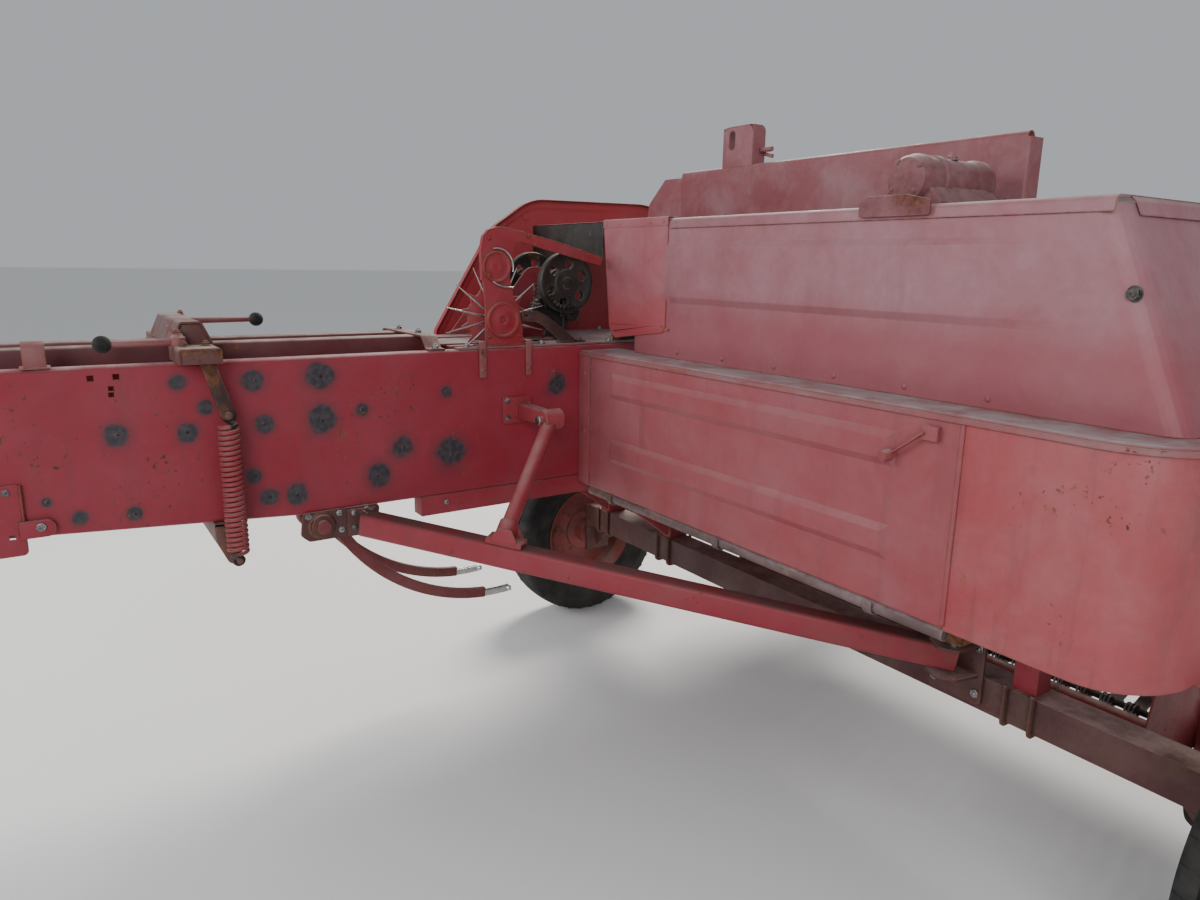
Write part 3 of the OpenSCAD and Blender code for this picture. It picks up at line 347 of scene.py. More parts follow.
metal("pipe", "dullPipe", "dusty_steel", deep=(0.1, 0.06, 0.058), light=(0.19, 0.13, 0.125),
      grime=(0.08, 0.05, 0.045), rust=0.4, wear=0.5, worn=(0.3, 0.26, 0.25), dust=0.9, dustColour=(0.32, 0.26, 0.25),
      metal=0.15, gloss=0.5)
metal("oldIron", "oldIron", "dusty_steel", deep=(0.03, 0.014, 0.012), light=(0.075, 0.04, 0.034),
      grime=(0.03, 0.02, 0.016), rust=0.6, wear=0.7, worn=(0.2, 0.15, 0.13), dust=0.7, dustColour=(0.24, 0.17, 0.15),
      metal=0.2, gloss=0.5)
metal("chrome", "polishedTips", "bare_steel", deep=(0.6, 0.6, 0.6), light=(0.78, 0.78, 0.77), grime=(0.45, 0.43, 0.4),
      rust=0.0, wear=0.4, worn=(0.85, 0.85, 0.84), dust=0.1, metal=1.0, gloss=0.18, pitting=0.12)
metal("boltHead", "boltHeads", "bare_steel", deep=(0.05, 0.05, 0.052), light=(0.2, 0.19, 0.18),
      grime=(0.03, 0.03, 0.03), rust=0.2, wear=1.0, worn=(0.6, 0.58, 0.55), dust=0.3, metal=0.6, gloss=0.34)
metal("dark", "greasyDark", "dusty_steel", deep=(0.012, 0.011, 0.011), light=(0.05, 0.042, 0.036),
      grime=(0.03, 0.022, 0.016), rust=0.35, wear=0.5, worn=(0.3, 0.28, 0.26), dust=0.5, metal=0.25, gloss=0.42)
metal("grey", "wornGrey", "bare_steel", deep=(0.16, 0.15, 0.145), light=(0.3, 0.285, 0.27), grime=(0.12, 0.09, 0.07),
      rust=0.45, wear=0.7, worn=(0.5, 0.48, 0.45), dust=0.5, metal=0.55, gloss=0.4)
metal("rust", "rustedSteel", "dusty_steel", deep=(0.07, 0.035, 0.022), light=(0.16, 0.075, 0.04),
      grime=(0.05, 0.03, 0.02), rust=1.2, wear=0.5, worn=(0.32, 0.25, 0.2), dust=0.5, metal=0.2, gloss=0.6,
      pitting=1.0)
metal("casting", "dustyCasting", "cast_iron", deep=(0.16, 0.05, 0.055), light=(0.25, 0.11, 0.115),
      grime=(0.09, 0.04, 0.04), rust=0.4, wear=0.4, worn=(0.3, 0.24, 0.23), dust=1.0, dustColour=paleDust, metal=0.05,
      gloss=0.6, pitting=0.9)
metal("steel", "brightSteel", "bare_steel", deep=(0.42, 0.41, 0.4), light=(0.6, 0.59, 0.57), grime=(0.3, 0.27, 0.24),
      rust=0.1, wear=0.5, worn=(0.75, 0.74, 0.72), dust=0.2, metal=0.95, gloss=0.24, pitting=0.2)
metal("iron", "castIron", "cast_iron", deep=(0.075, 0.05, 0.045), light=(0.16, 0.11, 0.1), grime=(0.05, 0.04, 0.03),
      rust=0.5, wear=0.5, worn=(0.3, 0.28, 0.26), dust=0.9, metal=0.2, gloss=0.5, pitting=1.0)
metal("bareFloor", "polishedFloor", "bare_steel", deep=(0.2, 0.19, 0.18), light=(0.34, 0.32, 0.3),
      grime=(0.2, 0.13, 0.08), rust=0.6, wear=0.3, worn=(0.5, 0.48, 0.46), dust=0.7, metal=0.6, gloss=0.34)

rubber("knob", "blackKnob", "black_guard", (0.008, 0.008, 0.009), (0.05, 0.045, 0.04))
rubber("tyre", "tyreRubber", "tyre", (0.012, 0.012, 0.012), (0.04, 0.037, 0.033))
rubber("guard", "blackGuard", "black_guard", (0.01, 0.01, 0.011), (0.03, 0.028, 0.027))
print("finishes made")

# tools of the bench: every piece is started from a primitive and shaped in edit mode


def clearSelection():
    if bpy.context.object and bpy.context.object.mode == "EDIT":
        bpy.ops.object.mode_set(mode="OBJECT")
    bpy.ops.object.select_all(action="DESELECT")


def take(piece):
    clearSelection()
    piece.select_set(True)
    bpy.context.view_layer.objects.active = piece


def edit(piece=None):
    if piece is not None:
        take(piece)
    bpy.ops.object.mode_set(mode="EDIT")
    bpy.ops.mesh.select_all(action="DESELECT")


def pickFaces(test):
    bpy.ops.mesh.select_mode(type="FACE")
    bpy.ops.mesh.select_all(action="DESELECT")
    mesh = bmesh.from_edit_mesh(bpy.context.object.data)
    for face in mesh.faces:
        if test(face.calc_center_median() - shift, face.normal):
            face.select_set(True)
    bmesh.update_edit_mesh(bpy.context.object.data)


def pickEdges(test):
    bpy.ops.mesh.select_mode(type="EDGE")
    bpy.ops.mesh.select_all(action="DESELECT")
    mesh = bmesh.from_edit_mesh(bpy.context.object.data)
    for edge in mesh.edges:
        a, b = edge.verts[0].co - shift, edge.verts[1].co - shift
        if test((a + b) / 2, (b - a).normalized(), len(edge.link_faces)):
            edge.select_set(True)
    bmesh.update_edit_mesh(bpy.context.object.data)


def selectAll():
    bpy.ops.mesh.select_all(action="SELECT")


def pull(x, y, z):
    bpy.ops.mesh.extrude_region_move(TRANSFORM_OT_translate={"value": (x, y, z)})


def pullAll(x, y, z):
    selectAll()
    pull(x, y, z)


def slide(x, y, z):
    bpy.ops.transform.translate(value=(x, y, z))


def outward():
    selectAll()
    bpy.ops.mesh.remove_doubles(threshold=0.00005)
    bpy.ops.mesh.normals_make_consistent(inside=False)


# turns an open sheet's faces so that its largest one looks a given way
def lookTo(direction):
    outward()
    mesh = bmesh.from_edit_mesh(bpy.context.object.data)
    largest = max(mesh.faces, key=lambda face: face.calc_area())
    if largest.normal.dot(Vector(direction)) < 0:
        bpy.ops.mesh.flip_normals()


# a circle with one vertex for each corner, which are moved to their places
def loop(name, points, closed=True):
    if len(points) == 2:
        points = [points[0], (Vector(points[0]) + Vector(points[1])) / 2, points[1]]
    clearSelection()
    bpy.ops.mesh.primitive_circle_add(vertices=len(points), radius=1.0, location=(0, 0, 0))
    piece = bpy.context.object
    piece.name = name
    for vertex, point in zip(piece.data.vertices, points):
        vertex.co = Vector(point) + shift
    edit()
    if not closed:
        bpy.ops.mesh.select_mode(type="EDGE")
        mesh = bmesh.from_edit_mesh(piece.data)
        mesh.verts.ensure_lookup_table()
        last = mesh.verts[0], mesh.verts[len(points) - 1]
        for edge in mesh.edges:
            if set(edge.verts) == set(last):
                edge.select_set(True)
        bmesh.update_edit_mesh(piece.data)
        bpy.ops.mesh.delete(type="EDGE")
    else:
        selectAll()
        bpy.ops.mesh.edge_face_add()
    return piece


# rounds an outline's corners: one radius for all, or one for each corner
def softened(points, radius, steps=5):
    count = len(points)
    radii = radius if isinstance(radius, (list, tuple)) else [radius] * count
    result = []
    for i, point in enumerate(points):
        here = Vector(point)
        before = Vector(points[i - 1]) - here
        after = Vector(points[(i + 1) % count]) - here
        half = before.angle(after) / 2
        if radii[i] <= 0 or half > 1.55:
            result.append(here)
            continue
        reach = min(radii[i] / math.tan(half), before.length * 0.48, after.length * 0.48)
        size = reach * math.tan(half)
        a, b = here + before.normalized() * reach, here + after.normalized() * reach
        centre = here + (before.normalized() + after.normalized()).normalized() * (size / math.sin(half))
        for k in range(steps + 1):
            t = k / steps
            spoke = (a - centre).lerp(b - centre, t)
            result.append(centre + spoke.normalized() * size)
    return [tuple(p) for p in result]


def placeOn(axis, at, a, b):
    return {"x": (at, a, b), "y": (a, at, b), "z": (a, b, at)}[axis]


# points on a circle about (a, b), at angles in radians
def circle(a, b, radius, angles):
    return [(a + radius * math.cos(angle), b + radius * math.sin(angle)) for angle in angles]


# points on a circle about (a, b), at angles in degrees
def arc(a, b, radius, degrees):
    return circle(a, b, radius, [math.radians(angle) for angle in degrees])


# the angles of an even ring; more=1 gives the first one again at the end
def ringAngles(count, more=0):
    return [math.tau * k / count for k in range(count + more)]


def rectangle(a0, a1, b0, b1):
    return [(a0, b0), (a1, b0), (a1, b1), (a0, b1)]


# cuts the sheet that is being edited across an axis
def cutAcross(axis, places):
    for place in places:
        selectAll()
        bpy.ops.mesh.bisect(plane_co=Vector(placeOn(axis, place, 0, 0)) + shift, plane_no=placeOn(axis, 1, 0, 0))


def applyModifier(piece, kind, **values):
    take(piece)
    modifier = piece.modifiers.new("shape", kind)
    for key, value in values.items():
        setattr(modifier, key, value)
    bpy.ops.object.modifier_apply(modifier=modifier.name)


def bevelled(piece, width=0.0015, segments=2, angle=35):
    applyModifier(piece, "BEVEL", width=width, segments=segments, limit_method="ANGLE",
                  angle_limit=math.radians(angle), use_clamp_overlap=True, profile=0.6)
    return piece


def thicker(piece, thickness, offset=-1.0):
    applyModifier(piece, "SOLIDIFY", thickness=thickness, offset=offset, use_even_offset=True)
    return piece


# a flat plate across an axis, from one place on it to another, with round holes as (a, b, radius)
def plate(name, axis, outline, low, high, holes=(), edge=0.0015, segments=2):
    piece = loop(name, [placeOn(axis, low, a, b) for a, b in outline])
    pullAll(*placeOn(axis, high - low, 0, 0))
    outward()
    take(piece)
    for a, b, radius in holes:
        cutter = rod("cutter", placeOn(axis, low - 0.02, a, b), placeOn(axis, high + 0.02, a, b), radius, 28, edge=0)
        carve(piece, cutter)
    return bevelled(piece, edge, segments) if edge else piece


def carve(piece, cutter):
    applyModifier(piece, "BOOLEAN", operation="DIFFERENCE", solver="EXACT", object=cutter)
    bpy.data.objects.remove(cutter)


def settle(piece):
    take(piece)
    bpy.ops.object.transform_apply(location=True, rotation=True, scale=True)
    return piece


# a round bar between two points, its ends broken by a small bevel
def rod(name, a, b, radius, sides=20, edge=0.0015, far=None):
    start, end = Vector(a) + shift, Vector(b) + shift
    clearSelection()
    bpy.ops.mesh.primitive_cone_add(vertices=sides, radius1=radius, radius2=radius if far is None else far,
                                    depth=(end - start).length, location=(start + end) / 2)
    piece = bpy.context.object
    piece.name = name
    piece.rotation_mode = "QUATERNION"
    piece.rotation_quaternion = (end - start).to_track_quat("Z", "Y")
    settle(piece)
    return bevelled(piece, min(edge, radius * 0.4), 2, 50) if edge else piece


# a square-edged block between pairs of coordinates
def block(name, x, y, z, edge=0.002, segments=2):
    clearSelection()
    bpy.ops.mesh.primitive_cube_add(size=1.0, location=(0, 0, 0))
    piece = bpy.context.object
    piece.name = name
    for vertex in piece.data.vertices:
        vertex.co = Vector([pair[0] if share < 0 else pair[1]
                            for pair, share in zip((x, y, z), vertex.co)]) + shift
    return bevelled(piece, edge, segments) if edge else piece


# a tube along points; smooth=True rounds its way between them
def tube(name, points, radius, smooth=True, sides=6, ring=12):
    clearSelection()
    bpy.ops.curve.primitive_nurbs_path_add(location=(0, 0, 0))
    path = bpy.context.object
    path.name = name
    data = path.data
    data.splines.clear()
    spline = data.splines.new("NURBS" if smooth else "POLY")
    spline.points.add(len(points) - 1)
    for target, point in zip(spline.points, points):
        target.co = (*(Vector(point) + shift), 1)
    if smooth:
        spline.order_u = 4 if len(points) > 3 else 3
        spline.use_endpoint_u = True
        spline.resolution_u = sides
    data.bevel_depth = radius
    data.bevel_resolution = max(1, ring // 4 - 1)
    data.use_fill_caps = True
    take(path)
    bpy.ops.object.convert(target="MESH")
    piece = bpy.context.object
    edit(piece)
    outward()
    take(piece)
    return piece


# a flat strap that follows a path drawn across an axis
def strap(name, axis, path, low, high, thickness, edge=0.001, bend=0.0):
    if bend:
        inner = softened(path, [0] + [bend] * (len(path) - 2) + [0], 4)
    else:
        inner = path
    piece = loop(name, [placeOn(axis, low, a, b) for a, b in inner], closed=False)
    pullAll(*placeOn(axis, high - low, 0, 0))
    outward()
    take(piece)
    thicker(piece, thickness, 0.0)
    return bevelled(piece, edge, 2, 50) if edge else piece


# turns a profile of (along, radius) round an axis through a centre
def turned(name, profile, centre, axis, steps=40):
    direction = Vector(placeOn(axis, 1, 0, 0))
    side = Vector((1, 0, 0)) if axis == "z" else Vector((0, 0, 1))
    middle = Vector(centre)
    points = [middle + direction * along + side * max(radius, 0.0) for along, radius in profile]
    piece = loop(name, points, closed=False)
    selectAll()
    bpy.ops.mesh.spin(steps=steps, angle=math.tau, center=middle + shift, axis=direction)
    outward()
    take(piece)
    return piece


def joined(name, pieces):
    clearSelection()
    for piece in pieces:
        piece.select_set(True)
    bpy.context.view_layer.objects.active = pieces[0]
    bpy.ops.object.join()
    pieces[0].name = name
    return pieces[0]


# a copy with its own mesh, turned and moved (the matrix works about the model's origin)
def another(model, matrix, name="copy"):
    take(model)
    bpy.ops.object.duplicate(linked=False)
    copy = bpy.context.object
    copy.name = name
    copy.data.transform(matrix)
    return copy


def dress(piece, finish, like, replaces=(), smooth=35):
    take(piece)
    bpy.ops.object.shade_smooth_by_angle(angle=math.radians(smooth))
    piece.data.materials.clear()
    piece.data.materials.append(finishes[finish])
    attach(piece, bodyOfNode[like])
    if replaces:
        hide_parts(*replaces)
    return piece


# a piece that stands for a node
def standIn(piece, finish, node, smooth=35):
    return dress(piece, finish, node, (node,), smooth)


# a CAD node's copy with its doubles merged, its flats cleaned and its edges rounded
def softenedNode(nodeName, finish, width=0.002, segments=2, angle=38, smooth=40, extras=()):
    clearSelection()
    piece = bpy.data.objects.new(nodeName + "Shaped", nodes[nodeName].data.copy())
    scene.collection.objects.link(piece)
    edit(piece)
    selectAll()
    bpy.ops.mesh.remove_doubles(threshold=0.00003)
    bpy.ops.mesh.dissolve_limited(angle_limit=math.radians(0.6))
    take(piece)
    if width:
        bevelled(piece, width, segments, angle)
    if extras:
        piece = joined(nodeName + "Shaped", [piece, *extras])
    return standIn(piece, finish, nodeName, smooth)


# fasteners: one of each is modelled at the origin, standing up along Z, and copied
def makeBolt():
    clearSelection()
    bpy.ops.mesh.primitive_cylinder_add(vertices=6, radius=0.0096, depth=0.0065, location=(0, 0, 0.0055))
    head = bpy.context.object
    edit(head)
    pickFaces(lambda m, n: n.z > 0.9)
    bpy.ops.mesh.inset(thickness=0.0012)
    slide(0, 0, 0.0008)
    bpy.ops.mesh.inset(thickness=0.004)
    slide(0, 0, -0.0006)
    take(head)
    clearSelection()
    bpy.ops.mesh.primitive_cylinder_add(vertices=18, radius=0.0125, depth=0.0024, location=(0, 0, 0.0012))
    washer = bpy.context.object
    bevelled(washer, 0.0006, 1, 50)
    clearSelection()
    bpy.ops.mesh.primitive_cylinder_add(vertices=10, radius=0.0052, depth=0.012, location=(0, 0, 0.008))
    end = bpy.context.object
    bevelled(end, 0.0012, 1, 50)
    return joined("boltModel", [head, washer, end])


def makeRoundHead():
    clearSelection()
    bpy.ops.mesh.primitive_uv_sphere_add(segments=16, ring_count=8, radius=0.011, location=(0, 0, 0))
    head = bpy.context.object
    edit(head)
    selectAll()
    bpy.ops.mesh.bisect(plane_co=(0, 0, 0), plane_no=(0, 0, 1), clear_inner=True, use_fill=True)
    take(head)
    head.scale = (1, 1, 0.42)
    settle(head)
    return head


boltModel = makeBolt()
roundModel = makeRoundHead()
facingTurn = {
    "+x": Matrix.Rotation(math.radians(90), 4, "Y"), "-x": Matrix.Rotation(math.radians(-90), 4, "Y"),
    "+y": Matrix.Rotation(math.radians(-90), 4, "X"), "-y": Matrix.Rotation(math.radians(90), 4, "X"),
    "+z": Matrix.Identity(4), "-z": Matrix.Rotation(math.radians(180), 4, "X"),
}
outLook = {-1: "-x", 1: "+x"}  # the way out on the left and on the right side


# fasteners at places given as (x, y, z), all facing one way; each one is turned a little further
def fasteners(name, places, facing, size=1.0, model=None):
    copies = []
    for i, place in enumerate(places):
        move = Matrix.Translation(Vector(place) + shift) @ facingTurn[facing]
        move = move @ Matrix.Rotation(0.7 * i + 0.2, 4, "Z") @ Matrix.Scale(size, 4)
        copies.append(another(model or boltModel, move, name))
    return joined(name, copies)


# bolts with heads of bare steel, on a node
def bolts(node, name, places, facing, size=1.0, model=None):
    return dress(fasteners(name, places, facing, size, model), "boltHead", node)


# places for a ring of fasteners, across an axis
def boltRing(axis, at, a, b, radius, angles):
    return [placeOn(axis, at, *spot) for spot in circle(a, b, radius, angles)]


# a piece made along Z from the origin, laid between two points: its X turns down, its Y to the left
def layBetween(piece, a, b):
    line = Vector(b) - Vector(a)
    heading = Matrix.Rotation(math.atan2(line.y, line.x), 4, "Z")
    lean = Matrix.Rotation(math.acos(line.z / line.length), 4, "Y")
    piece.data.transform(Matrix.Translation(Vector(a) + shift) @ (heading @ lean) @ Matrix.Translation(-shift))
    return piece


# a turn about an axis through a centre
def turnAbout(centre, axis, angle):
    middle = Vector(centre) + shift
    return Matrix.Translation(middle) @ Matrix.Rotation(angle, 4, axis.upper()) @ Matrix.Translation(-middle)


# copies of a piece round an axis through a centre, the piece itself among them
def around(piece, centre, axis, count):
    ring = [piece]
    for k in range(1, count):
        ring.append(another(piece, turnAbout(centre, axis, math.tau * k / count), piece.name))
    return joined(piece.name, ring)


# an uneven bead of weld between two points
def weld(a, b, radius=0.0035):
    start, end = Vector(a), Vector(b)
    count = max(4, int((end - start).length / 0.009))
    points = []
    for k in range(count + 1):
        wobble = 0.0007 if k % 2 else -0.0007
        points.append(tuple(start.lerp(end, k / count) + Vector((wobble, wobble, wobble))))
    return tube("weld", points, radius, False, 4, 8)


print("bench tools ready")

# bale chamber: two sheet walls with rounded flanges

chamber = {
    "x": 0.234, "low": 0.8, "rise": 0.066, "top": 1.24, "rear": -1.9, "risesFrom": -0.924, "front": 1.15,
    "flange": 0.042, "bend": 0.012, "thick": 0.004, "feed": (0.11, 0.67, 0.83, 1.21),
}


def makeWall(side, nodeName):
    c = chamber
    x = side * c["x"]
    b = c["bend"]
    low, high = c["low"] + b, c["top"] - b
    outline = [(x, c["rear"], c["low"] + c["rise"] + b), (x, c["risesFrom"], low), (x, c["front"], low),
               (x, c["front"], high), (x, c["rear"], high)]
    wall = loop(nodeName + "Sheet", outline)
    if side > 0:
        y0, y1, z0, z1 = c["feed"]
        cutAcross("y", (y0, y1))
        cutAcross("z", (z0, z1))
        pickFaces(lambda m, n: y0 < m.y < y1 and z0 < m.z < z1)
        bpy.ops.mesh.delete(type="FACE")
    bent = [(1 - math.cos(math.radians(a)), math.sin(math.radians(a))) for a in range(0, 91, 15)]
    steps = [((i1 - i0) * b, (u1 - u0) * b) for (i0, u0), (i1, u1) in zip(bent, bent[1:])]
    steps.append((c["flange"] - b, 0))
    tests = {1: lambda m: m.z > high - 0.002, -1: lambda m: m.z < lowEdge(m.y) + b + 0.001}
    for up, near in tests.items():
        pickEdges(lambda m, d, n: n == 1 and abs(d.y) > 0.9 and near(m))
        for inwards, upwards in steps:
            pull(-side * inwards, 0, up * upwards)
    lookTo((side, 0, 0))
    take(wall)
    thicker(wall, c["thick"])
    bevelled(wall, 0.0008, 1, 50)
    return wall


def lowEdge(y):
    c = chamber
    share = max(0.0, min(1.0, (c["risesFrom"] - y) / (c["risesFrom"] - c["rear"])))
    return c["low"] + c["rise"] * share


# small square holes near the wall's top, bolts and nuts on its outer side
wallFace = 0.234
squareHoles = [(-1.383, 1.213, 0.007), (-1.329, 1.214, 0.007), (-1.342, 1.186, 0.006), (-1.343, 1.171, 0.006)]
rightWall = makeWall(1, "chamber_right_wall")
for y, z, size in squareHoles:
    carve(rightWall, block("cutter", (0.2, 0.25), (y - size, y + size), (z - size, z + size), edge=0))
heads = fasteners("wallHeads", [(wallFace, y, z) for y, z, r in wallSpots[:-2]], "+x", 0.5, roundModel)
nutsAt = [(-0.1, 1.15), (0.06, 1.17), (0.02, 0.86), (0.86, 0.88), (0.86, 1.15)]
nuts = fasteners("wallNuts", [(wallFace, y, z) for y, z in nutsAt], "+x")
standIn(joined("chamberRightWall", [rightWall, nuts]), "wall", "chamber_right_wall")
dress(heads, "dark", "chamber_right_wall")
leftWall = makeWall(-1, "chamber_left_wall")
places = [(-wallFace, y, z) for y in (-1.75, -1.35, -0.6, -0.25, 0.2, 0.7, 1.05) for z in (0.9, 1.17)]
standIn(joined("chamberLeftWall", [leftWall, fasteners("nuts", places, "-x")]), "red", "chamber_left_wall")

# small straps that hang from the wall's top, and the strap hook at the rear
straps = {
    "tabs": [(-0.354, 0.024), (-0.195, 0.02)], "tabLow": 1.152, "hook": (-1.512, -1.466), "hookTop": 1.304,
}
parts = []
for y, width in straps["tabs"]:
    parts.append(strap("tab", "y", [(0.19, 1.262), (0.2395, 1.262), (0.2395, straps["tabLow"])], y - width / 2,
                       y + width / 2, 0.004, bend=0.006))
parts.append(fasteners("tabNuts", [(0.2415, y, 1.175) for y, w in straps["tabs"]], "+x", 0.6, roundModel))
y0, y1 = straps["hook"]
parts.append(strap("hook", "y", [(0.238, 1.246), (0.244, 1.262), (0.244, straps["hookTop"] - 0.004),
                                 (0.205, straps["hookTop"]), (0.198, straps["hookTop"] - 0.05), (0.196, 1.243)],
                   y0, y1, 0.0045, bend=0.016))
parts.append(strap("foot", "y", [(0.186, 1.2425), (0.239, 1.2425)], y0 - 0.008, y1 + 0.008, 0.004))
parts.append(fasteners("hookNut", [(0.21, (y0 + y1) / 2, 1.2445)], "+z", 0.7, roundModel))
dress(joined("wallStraps", parts), "dusty", "chamber_right_wall")
print("chamber walls made")

# feeder house: pressed rear panel, box with the rounded corner, shelf, upper shell

house = {
    "x0": 0.235, "panelX": 1.624, "x1": 2.024, "low": 0.775, "shelf": 1.215, "deep": 0.7, "corner": 0.15,
    "thick": 0.004, "shelfDeep": 0.11, "fields": [(1.088, 1.166), (0.882, 0.96)], "fieldX": (0.42, 1.475),
    "slope": 0.03, "press": 0.011,
}


# raises a long field on the sheet that is being edited, with sloped ends and sides
def pressField(x0, x1, z0, z1, slope, height):
    cutAcross("x", (x0, x1))
    cutAcross("z", (z0, z1))
    pickFaces(lambda m, n: x0 < m.x < x1 and z0 < m.z < z1)
    bpy.ops.mesh.inset(thickness=slope * 0.25)
    slide(0, -height * 0.5, 0)
    bpy.ops.mesh.inset(thickness=slope * 0.3)
    slide(0, -height * 0.5, 0)


def makeRearPanel():
    h = house
    z0, z1 = h["low"], h["shelf"] - 0.002
    panel = loop("rearPanel", [(h["x0"], 0, z0 + 0.008), (h["panelX"], 0, z0 + 0.008), (h["panelX"], 0, z1),
                               (h["x0"], 0, z1)])
    for low, high in h["fields"]:
        pressField(*h["fieldX"], low, high, h["slope"], h["press"])
    pickEdges(lambda m, d, n: n == 1 and abs(d.x) > 0.9 and m.z < z0 + 0.012)
    for y, z in [(0.002, -0.005), (0.004, -0.002), (0.024, -0.001)]:
        pull(0, y, z)
    lookTo((0, -1, 0))
    take(panel)
    thicker(panel, h["thick"])
    bevelled(panel, 0.004, 3, 12)
    strip = block("edgeStrip", (0.237, 0.3), (-0.004, 0.0), (0.783, 1.205), 0.0012)
    seam = block("seamStrip", (1.619, 1.629), (-0.0025, 0.0015), (0.785, 1.205), 0.001)
    return joined("houseRearPanel", [panel, strip, seam])


rearPanel = makeRearPanel()
panelNuts = fasteners("panelNuts", [(0.27, -0.004, z) for z in (0.84, 0.96, 1.15)], "-y", 0.7, roundModel)
standIn(joined("houseRearPanel", [rearPanel, panelNuts]), "house", "house_rear_panel")

# the latch that locks the box: a lever on a pivot with a folded catch
latch = [
    strap("lever", "y", [(1.548, 1.178), (1.515, 1.152), (1.462, 1.112)], -0.02, -0.009, 0.0045),
    fasteners("pivot", [(1.544, -0.004, 1.174)], "-y", 0.9),
    rod("knob", (1.468, -0.006, 1.117), (1.462, -0.03, 1.112), 0.013, 18, 0.004),
    strap("catch", "z", [(1.575, 0.0), (1.575, -0.012), (1.54, -0.012)], 1.162, 1.192, 0.003, bend=0.003),
]
dress(joined("boxLatch", latch), "house", "house_rear_panel")


# the box's lower edge by its distance from the rear face
def boxLow(y):
    line = [(-1, 0.775), (0.0, 0.775), (0.15, 0.79), (0.42, 0.66), (0.64, 0.62), (0.7, 0.6)]
    for (a, za), (b, zb) in zip(line, line[1:]):
        if y <= b:
            return za + (zb - za) * max(0.0, y - a) / (b - a)
    return line[-1][1]


def makeBox():
    h = house
    r = h["corner"]
    plan = [(h["panelX"] + 0.001, 0.0), (1.74, 0.0), *arc(h["x1"] - r, r, r, range(-90, 1, 6))]
    plan += [(h["x1"], y) for y in (0.28, 0.42, 0.53, 0.64, h["deep"])]
    box = loop("twineBox", [(x, y, h["shelf"] - 0.001) for x, y in plan], closed=False)
    pullAll(0, 0, -0.3)
    bpy.ops.object.mode_set(mode="OBJECT")
    for vertex in box.data.vertices:
        if vertex.co.z < 1.0:
            vertex.co.z = boxLow(vertex.co.y - shift.y)
    edit(box)
    cutAcross("z", (1.1, 0.95, 0.83))
    pickEdges(lambda m, d, n: n == 1 and abs(d.z) < 0.95 and m.z < 0.9)
    pull(-0.008, 0.008, -0.001)
    lookTo((1, 0, 0))
    take(box)
    thicker(box, h["thick"])
    return bevelled(box, 0.0015, 2, 40)


box = makeBox()
inner = plate("innerWall", "x", rectangle(0.005, 0.66, 0.782, 1.213), 1.62, 1.6239, [(0.33, 1.01, 0.03)])
bearing = turned("bearing", [(-0.002, 0.0255), (-0.002, 0.075), (0.012, 0.075), (0.018, 0.056), (0.085, 0.052),
                             (0.09, 0.046), (0.09, 0.0255)], (1.624, 0.33, 1.01), "x")
ring = fasteners("ring", boltRing("x", 1.636, 0.33, 1.01, 0.064, (0.7, 2.3, 3.9, 5.4)), "+x", 0.7)
standIn(joined("twineBox", [box, inner, bearing, ring]), "box", "twine_box")


# shelf with a rounded lip turned down over the panel
def makeShelf():
    h = house
    r = h["corner"]
    lip = {"high": 0.012, "out": 0.0055, "thick": 0.0045}
    outline = [(h["x0"] + 0.001, 0.0), (h["x1"] - r, 0.0), *arc(h["x1"] - r, r, r, range(-84, -6, 6))]
    outline += [(h["x1"], 0.15), (h["x0"] + 0.001, 0.15)]
    shelf = loop("shelf", [(x, y, h["shelf"] + 0.0005) for x, y in outline])
    pullAll(0, 0, 0.0075)
    outward()
    pickEdges(lambda m, d, n: m.z > h["shelf"] + 0.006 and abs(d.z) < 0.1 and m.y < 0.149)
    bpy.ops.mesh.bevel(offset=0.006, segments=4, affect="EDGES")
    take(shelf)
    front = [(h["x0"] + 0.002, -lip["out"]), (h["x1"] - r, -lip["out"]),
             *arc(h["x1"] - r, r, r + lip["out"], range(-84, 1, 6))]
    lipSheet = loop("lip", [(x, y, h["shelf"] + 0.002) for x, y in front], closed=False)
    pullAll(0, 0, -lip["high"])
    lookTo((0, -1, 0))
    take(lipSheet)
    thicker(lipSheet, lip["thick"])
    return joined("shelf", [shelf, bevelled(lipSheet, 0.0018, 3, 40)])


standIn(makeShelf(), "shelf", "house_shelf")
print("house's lower part made")

# upper shell: panel with long steps and leaning end in one sheet with a wide bend, and the roof as a sheet of its own
shell = {
    "x0": 0.384, "flapX": 0.546, "low": 1.2235, "roof": 1.634, "endLow": 1.967, "endTop": 1.797, "bend": 0.014,
    "wideBend": 0.05, "steps": (1.4, 1.555), "proud": 0.0115,
}


